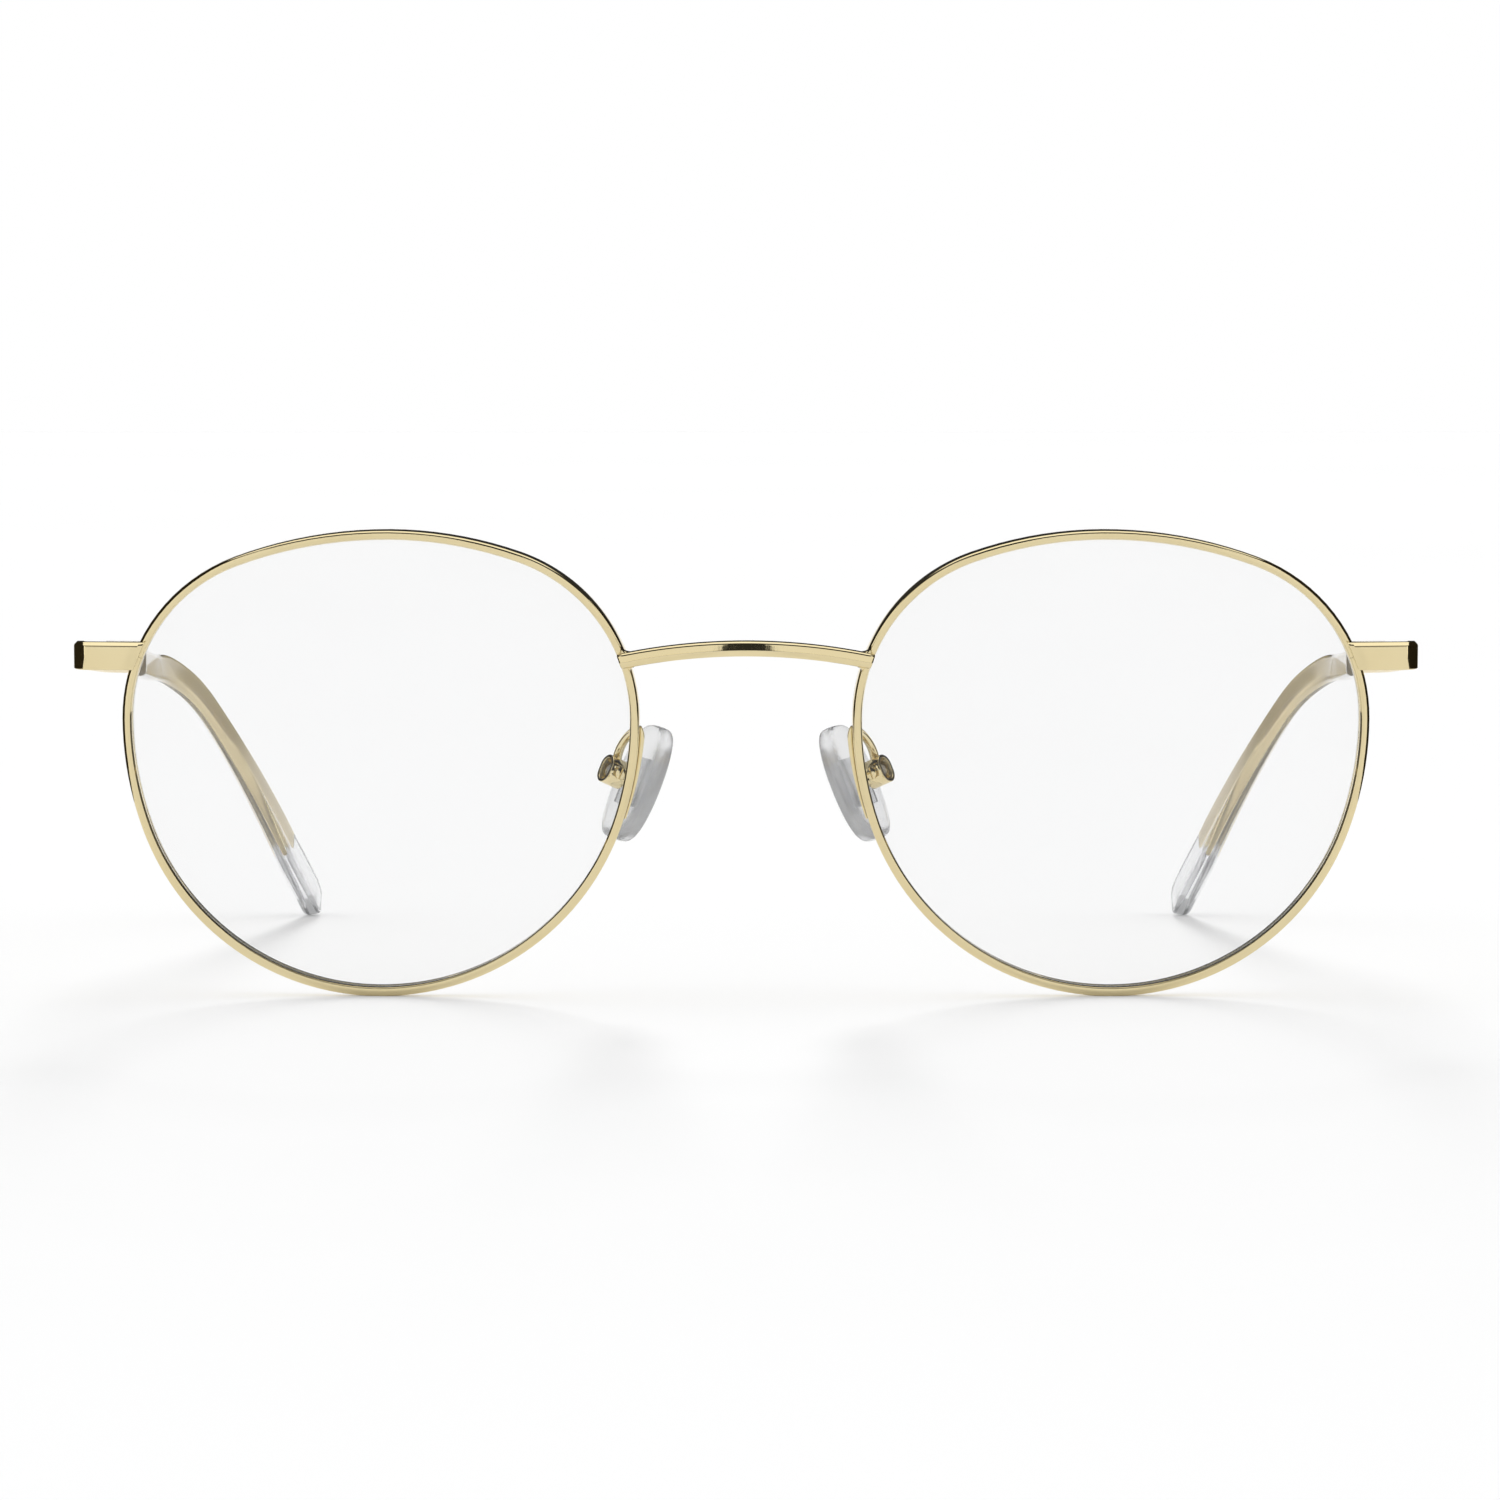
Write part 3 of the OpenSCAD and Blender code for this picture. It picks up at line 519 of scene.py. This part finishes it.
def make_bridge():
    """Arched bar, cut along the rims at both ends. Its front has a soft ridge below the middle."""
    half_h, half_d, corner = BRIDGE_H / 2, BRIDGE_D / 2, 0.5
    section = spread(rounded([(half_h, -half_d, corner), (-half_h, -half_d, corner),
                              (-half_h, half_d - 0.04, 0.34), (-0.12, half_d, 0.4),
                              (half_h, half_d - 0.22, 0.38)], 10), 0.15)
    lip, clear_of_end, steps = GROOVE - 0.12, 0.3, 60
    # Each ring of a rounded end: how far from the cut it is, and its size
    ends = [(0.0, 0.80), (0.03, 0.90), (0.09, 0.97), (0.16, 1.0)]

    def ring(share, back, scale=1.0):
        """A ring on the bar; share is -1 at the right end and 1 at the left end."""
        lines = [(p.x * scale, p.y * scale) for p in section]
        return [bridge_point(share * bridge_end(up, deep, back - lip), up, deep)
                for up, deep in lines]

    rings = [ring(-1, back, scale) for back, scale in ends]
    rings += [ring(k / steps * 2 - 1, clear_of_end) for k in range(1, steps)]
    rings += [ring(1, back, scale) for back, scale in ends[::-1]]
    bar = skin("bridge_bar", rings, turn=frame_space())
    return finish(bar, gold, "front", "pale_gold", "bridge")


# ---- End pieces ----

END_H, END_T, END_R = 2.75, 1.1, 1.35
HALF_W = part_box("endpiece_left")[1].x / MM
BEND_X = HALF_W - END_R
BEND_Y = (-RIM_D / 2 - BRAZE_GAP - END_T + END_R + BEND_X * sin(WRAP)) / cos(WRAP)
HINGE = joint_place("temple_left_fold")


def plate_point(run, up, deep, turn=0.0):
    """A point on the plate or its bend: run along the plate, or turn around the bend in radians."""
    r, angle = END_R - deep, WRAP - pi / 2 + turn
    x, y = BEND_X + r * cos(angle) - run * cos(WRAP), BEND_Y + r * sin(angle) - run * sin(WRAP)
    return Vector((x, y, END_Z + up))


def plate_end(up, deep, grow):
    """Length of the plate from its bend to the lens outline moved outwards by grow."""
    return crossing(0.0, 9.0, lambda run:
                    inside(outer_top[0], plate_point(run, up, deep), grow) >= 0)


def make_endpiece(side):
    """Plate, bend and strip in one, chamfered along its upper front edge and around its cut."""
    half_h, cut, rim_cut, bend_steps = END_H / 2, 0.36, 0.42, 14
    section = rounded([(half_h - cut, 0, 0.3), (half_h, cut, 0.05), (half_h, END_T, 0.12),
                       (-half_h, END_T, 0.12), (-half_h, 0, 0.12)], 4)
    space, turn = frame_space(), pi / 2 - WRAP
    stop_y = HINGE.y - 0.03
    rings = []
    for q, scale in ((1.0, 0.9), (0.994, 0.96), (0.985, 1.0), (0.66, 1.0), (0.33, 1.0)):
        ring = []
        for p in section:
            up, deep = p.x * scale, END_T / 2 + (p.y - END_T / 2) * scale
            bend_end = space @ plate_point(0, up, deep, turn)
            back = Vector((HALF_W - deep, stop_y, HINGE.z + up))
            ring.append(bend_end.lerp(back, q))
        rings.append(ring)
    for k in range(bend_steps + 1):
        angle = turn * (1 - k / bend_steps)
        rings.append([space @ plate_point(0, p.x, p.y, angle) for p in section])
    # Towards the cut the plate's face sinks, and its last ring is a little lower
    for grow, sink, scale in ((1.6, 0, 1.0), (rim_cut + 0.04, 0, 1.0), (rim_cut, 0.015, 1.0),
                              (0.03, 0.25, 1.0), (0.0, 0.3, 0.97)):
        rings.append([space @ plate_point(plate_end(p.x, p.y, grow), p.x * scale, max(p.y, sink))
                      for p in section])
    plate = skin("end_piece_" + side, rings, mirror=side == "right", sharp=24.0)
    return finish(plate, gold, "front", "pale_gold", "endpiece_" + side)


# ---- Temples ----

EAR_R, EAR_ANGLE = 16.0, radians(48)
TEMPLE_LEN, FLAT_LEN, SLEEVE_LEAD = 92.0, 34.0, 27.0
CURL_LEAD, CURL_EASE, CURL_FADE, CURL_SPAN, TIP_INSET = 5.0, 12.0, 0.0032, 31.4, 16.2
ARM_H, ARM_T, CORE_H, CORE_T = 2.75, 1.1, 2.3, 0.75
SLEEVE_H, SLEEVE_T, PADDLE_H, SLEEVE_CLEAR = 2.9, 1.95, 4.9, 10.5
SLEEVE_EDGE, SLEEVE_INSET = 0.6, 0.35
# How far the sleeve hangs below its core, and how much more for each millimetre that it swells
SLEEVE_SAG, PADDLE_SAG = 0.28, 0.45
BEND_LEN = EAR_R * (EAR_ANGLE - SLOPE)
CURL_RUN = CURL_SPAN + BEND_LEN + CURL_LEAD - CURL_EASE
CURL_SLOPE = (TIP_INSET + CURL_FADE * CURL_RUN ** 2) / (CURL_RUN + CURL_EASE / 2)
EAR_START = (HINGE.y + TEMPLE_LEN * cos(SLOPE), HINGE.z - TEMPLE_LEN * sin(SLOPE))
SLEEVE_END = 44.4519
CORE_END = SLEEVE_END - SLEEVE_CLEAR
CORE_ROUND = 0.4


def fall(t):
    """Angle below level at t millimetres past the start of the ear bend."""
    return SLOPE if t < 0 else min(EAR_ANGLE, SLOPE + t / EAR_R)


def taper(t):
    """Share of the way from the flat strip to the core."""
    return between(t, FLAT_LEN - TEMPLE_LEN, -SLEEVE_LEAD)


def path_x(t):
    """Sideways place of the temple's middle. The end curls inwards, eased in and then fading."""
    run, late = t + CURL_LEAD, t + CURL_LEAD - CURL_EASE
    if run < 0:
        curl = 0.0
    elif late < 0:
        curl = CURL_SLOPE * run ** 2 / (2 * CURL_EASE)
    else:
        curl = CURL_SLOPE * (CURL_EASE / 2 + late) - CURL_FADE * late ** 2
    arm_x, core_x = HALF_W - ARM_T / 2, HALF_W - SLEEVE_INSET - SLEEVE_T / 2
    return arm_x + (core_x - arm_x) * taper(t) - curl


def temple_frame(t):
    """Middle, upward direction and outward direction of the temple at t from the ear bend."""
    f = fall(t)
    if t < 0:
        y, z = EAR_START[0] + t * cos(SLOPE), EAR_START[1] - t * sin(SLOPE)
    else:
        straight = max(0.0, t - BEND_LEN)
        y = EAR_START[0] + EAR_R * (sin(f) - sin(SLOPE)) + straight * cos(EAR_ANGLE)
        z = EAR_START[1] + EAR_R * (cos(f) - cos(SLOPE)) - straight * sin(EAR_ANGLE)
    up = Vector((0, sin(f), cos(f)))
    along = Vector(((path_x(t + 0.01) - path_x(t - 0.01)) / 0.02, cos(f), -sin(f))).normalized()
    return Vector((path_x(t), y, z)), up, along.cross(up).normalized() * -1


def temple_ring(t, h, w, edge, steps=3, drop=0.0):
    """An oblong section of the temple, lowered by drop."""
    centre, up, out = temple_frame(t)
    centre -= up * drop
    return [centre + up * p.x + out * p.y for p in oblong(h, w, edge, steps)]


def strip_ring(t, edge=0.14, shrink=0.0):
    """Section of the metal strip with softened edges."""
    h = ARM_H / 2 + (CORE_H - ARM_H) / 2 * taper(t) - shrink
    w = ARM_T / 2 + (CORE_T - ARM_T) / 2 * taper(t) - shrink
    return temple_ring(t, h, w, edge)


def stations(a, b, gap):
    """Evenly spaced places from a to b, no more than gap apart."""
    n = max(1, ceil((b - a) / gap))
    return [a + (b - a) * k / n for k in range(n + 1)]


def make_temple_arm(side):
    """Flat strip that tapers to the core and ends, rounded, inside the clear tip."""
    start = -TEMPLE_LEN + 0.06
    places = stations(start + 0.12, FLAT_LEN - TEMPLE_LEN, 8.0)
    places += stations(FLAT_LEN - TEMPLE_LEN, -SLEEVE_LEAD, 2.5)[1:]
    places += stations(-SLEEVE_LEAD, CORE_END - CORE_ROUND, 0.8)[1:]
    rings = [strip_ring(start, 0.1, 0.09), strip_ring(start + 0.04, 0.13, 0.03)]
    rings += [strip_ring(t) for t in places]
    for share in (0.7, 0.45, 0.25, 0.1, 0.0):
        round_off = sqrt(max(0.02, 1 - (1 - share) ** 2))
        h, w = CORE_H / 2 - CORE_ROUND * (1 - round_off), CORE_T / 2 * (0.6 + 0.4 * round_off)
        rings.append(temple_ring(CORE_END - share * CORE_ROUND, h, w, min(0.14, w * 0.5)))
    arm = skin("temple_strip_" + side, rings, mirror=side == "right")
    return finish(arm, satin_gold, "temple_" + side, "pale_gold", "temple_arm_" + side)


def make_temple_tip(side):
    """Clear sleeve over the core, swelling into a rounded paddle."""
    def height(to_end):
        """The sleeve's height at a distance from its end, easing up to the paddle's."""
        k = between(to_end, 34, 7)
        return SLEEVE_H + (PADDLE_H - SLEEVE_H) * k * k * (3 - 2 * k)

    def round_end(to_end, r):
        return 1.0 if to_end >= r else sqrt(max(0.0025, 1 - (1 - to_end / r) ** 2))

    def ring(t, lip=1.0):
        to_end = SLEEVE_END - t
        h = height(to_end) / 2 * round_end(to_end, 2.6) * lip
        w = SLEEVE_T / 2 * round_end(to_end, 1.3) * lip
        sag = SLEEVE_SAG + PADDLE_SAG * (height(to_end) - SLEEVE_H)
        sag = sag * between(to_end, 1, 10) * between(t, -SLEEVE_LEAD, -8)
        return temple_ring(t, h, w, SLEEVE_EDGE * min(1, h, w), 7, sag)

    mouth = ((0, 0.84), (0.04, 0.9), (0.12, 0.95), (0.25, 0.985))
    end = (2.6, 2.2, 1.8, 1.4, 1.1, 0.8, 0.55, 0.35, 0.2, 0.1, 0.04, 0.0)
    rings = [ring(-SLEEVE_LEAD + run, lip) for run, lip in mouth]
    rings += [ring(t) for t in stations(0.45 - SLEEVE_LEAD, SLEEVE_END - 3.0, 0.9)]
    rings += [ring(SLEEVE_END - to_end) for to_end in end]
    tip = skin("crystal_tip_" + side, rings, mirror=side == "right", sharp=50.0)
    return finish(tip, crystal, "temple_" + side, "crystal", "temple_tip_" + side)


# ---- Nose pads and their arms ----

PAD_SPLAY, PAD_TILT = radians(33), radians(26)
PAD_LEN, PAD_W, PAD_T, PAD_OFF = 12.1, 7.2, 2.6, 3.1
BOX_PLACE = Vector((13.2, 7.0, -1.55))
BOX_Z, WIRE_R = 2.9, 0.425
FOOT_W, FOOT_H, FOOT_FROM, FOOT_TURN, WIRE_Z = 1.0, 0.7, 181.5, 16.5, 3.4


def pad_space():
    """Space of the wearer's left pad: -x towards the nose, z along the pad."""
    return (frame_space() @ Matrix.Translation(BOX_PLACE)
            @ Matrix.Rotation(-PAD_SPLAY, 4, "Z") @ Matrix.Rotation(-PAD_TILT, 4, "Y"))


def make_nose_pad(side):
    """Oblong silicone pad with rounded ends, a full face and a flatter back."""
    rings, steps, pole = [], 44, 2
    for i in range(steps + 1):
        a = radians(pole + (180 - 2 * pole) * i / steps)
        z, r = -PAD_LEN / 2 * cos(a), sin(a)
        w = PAD_W / 2 * r ** 0.48 * (1 - 0.06 * z / PAD_LEN)
        h = PAD_T * r ** 0.42
        ring = []
        for j in range(steps):
            b = -2 * pi * j / steps
            flat = abs(sin(b)) ** 0.8 * (1 if sin(b) > 0 else -1)
            share = 0.56 if flat < 0 else 0.44
            ring.append((-PAD_OFF + h * share * flat, w * cos(b), z))
        rings.append(ring)
    pad = skin("silicone_pad_" + side, rings, turn=pad_space(), mirror=side == "right", sharp=60.0)
    return finish(pad, silicone, "pad_" + side, "silicone", "nose_pad_" + side)


def make_pad_arm(side):
    """Foot brazed along the rim's back, and the wire that runs from it down into the pad box."""
    arc = nose_low[0]
    near = RIM_D / 2 + BRAZE_GAP
    sunk = near - 0.2
    rings = []
    places = stations(FOOT_FROM, FOOT_FROM + FOOT_TURN, 0.5)
    for k, angle in enumerate(places):
        share = k / (len(places) - 1)
        end = sqrt(min(1.0, 0.15 + 7 * min(share, 1 - share)))
        inner = RIM_OUT - FOOT_W / 2
        outer = RIM_OUT + FOOT_W / 2 * (1 - 0.7 * share) * sqrt(min(1.0, 0.04 + 9 * share))
        back = near + FOOT_H * end
        section = rounded([(inner, near, 0.05), (inner, back, 0.2 * end),
                           (outer, back, 0.28 * end), (outer, sunk, 0.1),
                           (RIM_OUT, sunk, 0.03), (RIM_OUT, near, 0.02)])
        rings.append(around(arc, angle, section))
    foot_piece = skin("pad_arm_foot_" + side, rings, turn=lens_space(), mirror=side == "right")
    finish(foot_piece, gold, "front", "pale_gold")

    start = Vector((HALF_LENS_X - LENS_W / 2 - RIM_OUT + 0.12, 1.85, WIRE_Z))
    stop = BOX_PLACE + Vector((-0.3, 0.2, BOX_Z / 2 - 0.35))
    rise, dip = start + Vector((0.5, 2.4, -0.2)), stop + Vector((-0.35, -0.8, 2.2))

    def at(q):
        """A point along the wire's curve, from 0 at the foot to 1 at the box."""
        return (start * (1 - q) ** 3 + rise * 3 * q * (1 - q) ** 2
                + dip * 3 * q * q * (1 - q) + stop * q ** 3)

    rings, steps, sides = [], 40, 20
    for i in range(steps + 1):
        s = i / steps
        along = (at(s + 0.01) - at(s - 0.01)).normalized()
        a = along.cross(Vector((1, 0, 0))).normalized()
        b = along.cross(a)
        # The wire is hammered flatter where it meets the box
        flat = 1 + 0.3 * max(0, s - 0.6)
        ring = []
        for j in range(sides):
            turn = 2 * pi * j / sides
            ring.append(at(s) + (a * cos(turn) + b * (flat * sin(turn))) * WIRE_R)
        rings.append(ring)
    wire = skin("pad_arm_wire_" + side, rings, turn=frame_space(), mirror=side == "right")
    return finish(wire, gold, "front", "pale_gold", "pad_arm_" + side)


# ---- Solder at the bridge ----


def make_solder(side, way):
    """Small concave fillet between the bar and a rim; way is 1 above the bar, -1 below it."""
    arc = nose_top[0]
    up = way * BRIDGE_H / 2
    reach = 0.75 if way > 0 else 0.6
    corner = bridge_point(bridge_end(up, 0, RIM_OUT - 0.15), up * 0.9, 0)
    nose = Vector((-1, 0, 0))
    spot = FRONT_TO_LENS @ corner
    out = Vector((spot.x - arc[0], 0, spot.z - arc[1])).normalized()
    along = Vector((out.z, 0, -out.x))
    if along.z * way < 0:
        along = -along
    bar_side = corner + nose * reach + Vector((0, 0, 0.12 * way))
    rim_side = corner + along * reach
    bend = corner + (nose + along) * 0.16
    curve = [bar_side * (1 - q) ** 2 + bend * 2 * q * (1 - q) + rim_side * q * q
             for q in (i / 8 for i in range(9))]
    root = corner + (out * -0.3) + Vector((0, 0, -0.15 * way))
    rings = []
    # Depth and size of each ring, from the bar's front to its back
    for y, size in ((-0.72, 0.55), (-0.62, 0.85), (-0.45, 1.0),
                    (0.2, 1.0), (0.7, 0.9), (0.85, 0.6)):
        ring = [corner + (p - corner) * size for p in curve] + [root]
        rings.append([(p.x, y + 0.05, p.z) for p in ring])
    bead = skin(f"bridge_solder_{'top' if way > 0 else 'under'}_{side}", rings, turn=frame_space(),
                mirror=side == "right", sharp=50.0)
    return finish(bead, gold, "front", "pale_gold")


# ---- Making the pieces ----

for side in SIDES:
    make_rim(side)
    make_lens(side)
    make_endpiece(side)
    make_temple_arm(side)
    make_temple_tip(side)
    make_nose_pad(side)
    make_pad_arm(side)
    make_solder(side, 1)
    make_solder(side, -1)
make_bridge()

# The machined pieces keep their own shape, with their edges softened
EDGE_SOFTNESS = {"closing_upper": 0.1, "closing_lower": 0.1, "pad_box": 0.08,
                 "front_hinge": 0.06, "temple_hinge": 0.06, "rim_screw": 0.04, "pad_screw": 0.04,
                 "hinge_screw": 0.05, "pad_insert": 0.08}
OTHER_FINISH = {"rim_screw": steel, "pad_screw": gold, "hinge_screw": steel, "pad_insert": pad_core}
for name, softness in EDGE_SOFTNESS.items():
    for side in SIDES:
        piece = frame["nodes"][name + "_" + side]
        piece.data.materials.clear()
        piece.data.materials.append(OTHER_FINISH.get(name, gold))
        weld = piece.modifiers.new("weld", "WELD")
        weld.merge_threshold = 1e-6
        edge = piece.modifiers.new("soft_edge", "BEVEL")
        edge.width = softness * MM
        edge.segments = 3
        edge.limit_method = "ANGLE"
        edge.angle_limit = radians(32)
        edge.harden_normals = True
        piece.data.shade_smooth()

# ---- Stage: floor, lights and camera ----


def stage_sheet(name, corners):
    """A flat sheet for the stage from four corners in metres."""
    mesh = bpy.data.meshes.new(name)
    mesh.from_pydata(corners, [], [(0, 1, 2, 3)])
    sheet = bpy.data.objects.new(name, mesh)
    bpy.context.scene.collection.objects.link(sheet)
    return sheet


def matte(name, light, dark, scale):
    """A dull material without highlights that drifts between two tones, and its shader."""
    material = bpy.data.materials.new(name)
    material.use_nodes = True
    tree = material.node_tree
    shader = tree.nodes["Principled BSDF"]
    tone = place_group(tree, TONE, Colour_A=(*light, 1), Colour_B=(*dark, 1), Scale=scale)
    tree.links.new(tone.outputs["Colour"], shader.inputs["Base Color"])
    shader.inputs["Roughness"].default_value = 1.0
    shader.inputs["Specular IOR Level"].default_value = 0.0
    return material, shader


FLOOR_REACH = 6.0


def make_floor():
    """Plain pale floor, wide enough to fill every view."""
    r = FLOOR_REACH
    floor = stage_sheet("studio_floor", [(-r, -r, 0), (r, -r, 0), (r, r, 0), (-r, r, 0)])
    paint, _ = matte("floor_paint", (0.90, 0.90, 0.90), (0.895, 0.895, 0.895), 1.5)
    floor.data.materials.append(paint)


CARD_X, CARD_FOOT, CARD_TOP = 0.115, 0.0005, 0.15


def make_side_card(name, way, near, far, level):
    """Upright card beside the glasses, seen only in reflections, where it draws an edge line."""
    x = way * CARD_X
    card = stage_sheet(name, [(x, near, CARD_FOOT), (x, far, CARD_FOOT),
                              (x, far, CARD_TOP), (x, near, CARD_TOP)])
    paper, shader = matte(name, (0.03, 0.025, 0.015), (0.02, 0.016, 0.01), 8.0)
    shader.inputs["Emission Color"].default_value = (1, 1, 1, 1)
    shader.inputs["Emission Strength"].default_value = level
    card.data.materials.append(paper)
    card.visible_camera = card.visible_diffuse = card.visible_shadow = False
    card.visible_transmission = False


def make_lamp(name, height, spread_angle, light_on_floor):
    """Distant lamp behind the glasses, at a height in degrees above the floor.

    It is left out of reflections, so that it never shows as a disc in the polish."""
    data = bpy.data.lights.new(name, "SUN")
    data.energy = light_on_floor / sin(radians(height))
    data.angle = radians(spread_angle)
    light = bpy.data.objects.new(name, data)
    light.rotation_euler = (radians(height - 90), 0, 0)
    light.visible_glossy = light.visible_transmission = False
    bpy.context.scene.collection.objects.link(light)


# Heights on the walls are sines of the angle above the floor. Each edge is where a tone starts to
# change and where it has changed.
FRONT_WALL_TOP, REAR_WALL_TOP, WALL_SIDE = (0.36, 0.44), (0.10, 0.15), (0.6, 0.75)
STAND_WIDTH, STAND_TAPER, STAND_FOOT = 0.105, 0.13, (0.02, 0.05)
TABLE_EDGE, TABLE_EDGE_DARK = (0.045, 0.055), 0.8
OVERHEAD_EDGE, OVERHEAD_LEVEL, DIM_LEVEL = (0.80, 0.88), 1.3, 0.03
# Walls as seen through clear pieces, and the even light on dull surfaces
THROUGH_SHARE, THROUGH_LEVEL, AMBIENT = 0.6, 0.38, 0.793


def make_world():
    """Studio walls: in reflections pale low down and overhead and dark between, elsewhere even."""
    world = bpy.data.worlds.new("studio_walls")
    bpy.context.scene.world = world
    world.use_nodes = True
    tree = world.node_tree

    def times(a, b):
        return maths(tree, "MULTIPLY", a, b)

    def rest_of(a):
        return maths(tree, "SUBTRACT", 1.0, a)

    def below(value, edge):
        return ramp(tree, value, *edge, 1.0, 0.0)

    direction = tree.nodes.new("ShaderNodeTexCoord").outputs["Generated"]
    axes = tree.nodes.new("ShaderNodeSeparateXYZ")
    tree.links.new(direction, axes.inputs["Vector"])
    x, y, z = (axes.outputs[i] for i in range(3))
    wide = maths(tree, "ABSOLUTE", x)
    behind = ramp(tree, y, -0.05, 0.05)
    in_front = rest_of(behind)
    low = maths(tree, "MAXIMUM", times(below(z, REAR_WALL_TOP), behind),
                times(below(z, FRONT_WALL_TOP), in_front))
    low = times(low, below(wide, WALL_SIDE))
    # A dark upright stand straight in front, wider at its foot
    stand_width = maths(tree, "SUBTRACT", STAND_WIDTH, times(z, STAND_TAPER))
    stand = below(maths(tree, "DIVIDE", wide, stand_width), (0.95, 1.05))
    stand = times(times(stand, ramp(tree, z, *STAND_FOOT)), in_front)
    low = times(low, rest_of(stand))
    # The far edge of the table, a thin dark line
    table_edge = times(below(z, TABLE_EDGE), in_front)
    low = times(low, rest_of(times(table_edge, TABLE_EDGE_DARK)))
    overhead = times(ramp(tree, z, *OVERHEAD_EDGE), OVERHEAD_LEVEL)
    in_polish = maths(tree, "ADD", maths(tree, "MAXIMUM", low, overhead), DIM_LEVEL)
    through = maths(tree, "ADD", times(in_polish, THROUGH_SHARE), THROUGH_LEVEL)
    path = tree.nodes.new("ShaderNodeLightPath")
    glossy, clear = path.outputs["Is Glossy Ray"], path.outputs["Is Transmission Ray"]
    even = rest_of(maths(tree, "MAXIMUM", glossy, clear))
    level = maths(tree, "ADD", times(in_polish, times(glossy, rest_of(clear))),
                  times(through, clear))
    level = maths(tree, "ADD", level, times(even, AMBIENT))
    level = maths(tree, "MAXIMUM", level, path.outputs["Is Camera Ray"])
    background = tree.nodes["Background"]
    tree.links.new(level, background.inputs["Strength"])
    background.inputs["Color"].default_value = (1, 1, 1, 1)


CAMERA_PLACE, CAMERA_DIP = (0.0004, -0.9639, 0.0645), 2.539
SENSOR_WIDTH, FOCAL_LENGTH = 36.0, 217.8


def make_camera():
    """Camera in front of the glasses, pointing a little below level."""
    data = bpy.data.cameras.new("front_camera")
    data.sensor_width = SENSOR_WIDTH
    data.lens = FOCAL_LENGTH
    data.clip_start = 0.01
    camera = bpy.data.objects.new("front_camera", data)
    camera.location = CAMERA_PLACE
    camera.rotation_euler = (radians(90 - CAMERA_DIP), 0, 0)
    bpy.context.scene.collection.objects.link(camera)
    bpy.context.scene.camera = camera


# Height in degrees and light on the floor of each rear lamp
REAR_LAMPS = ((19, 0.34), (13, 0.30), (9, 0.24), (6, 0.14))
LAMP_SPREAD = 6

make_floor()
for way in (-1, 1):
    make_side_card("black_card", way, -0.17, 0.05, 0.0)
    make_side_card("white_card", way, -0.20, -0.17, 1.3)
make_world()
for height, light_on_floor in REAR_LAMPS:
    make_lamp("rear_lamp", height, LAMP_SPREAD, light_on_floor)
make_camera()
bpy.context.scene.view_settings.view_transform = "Standard"
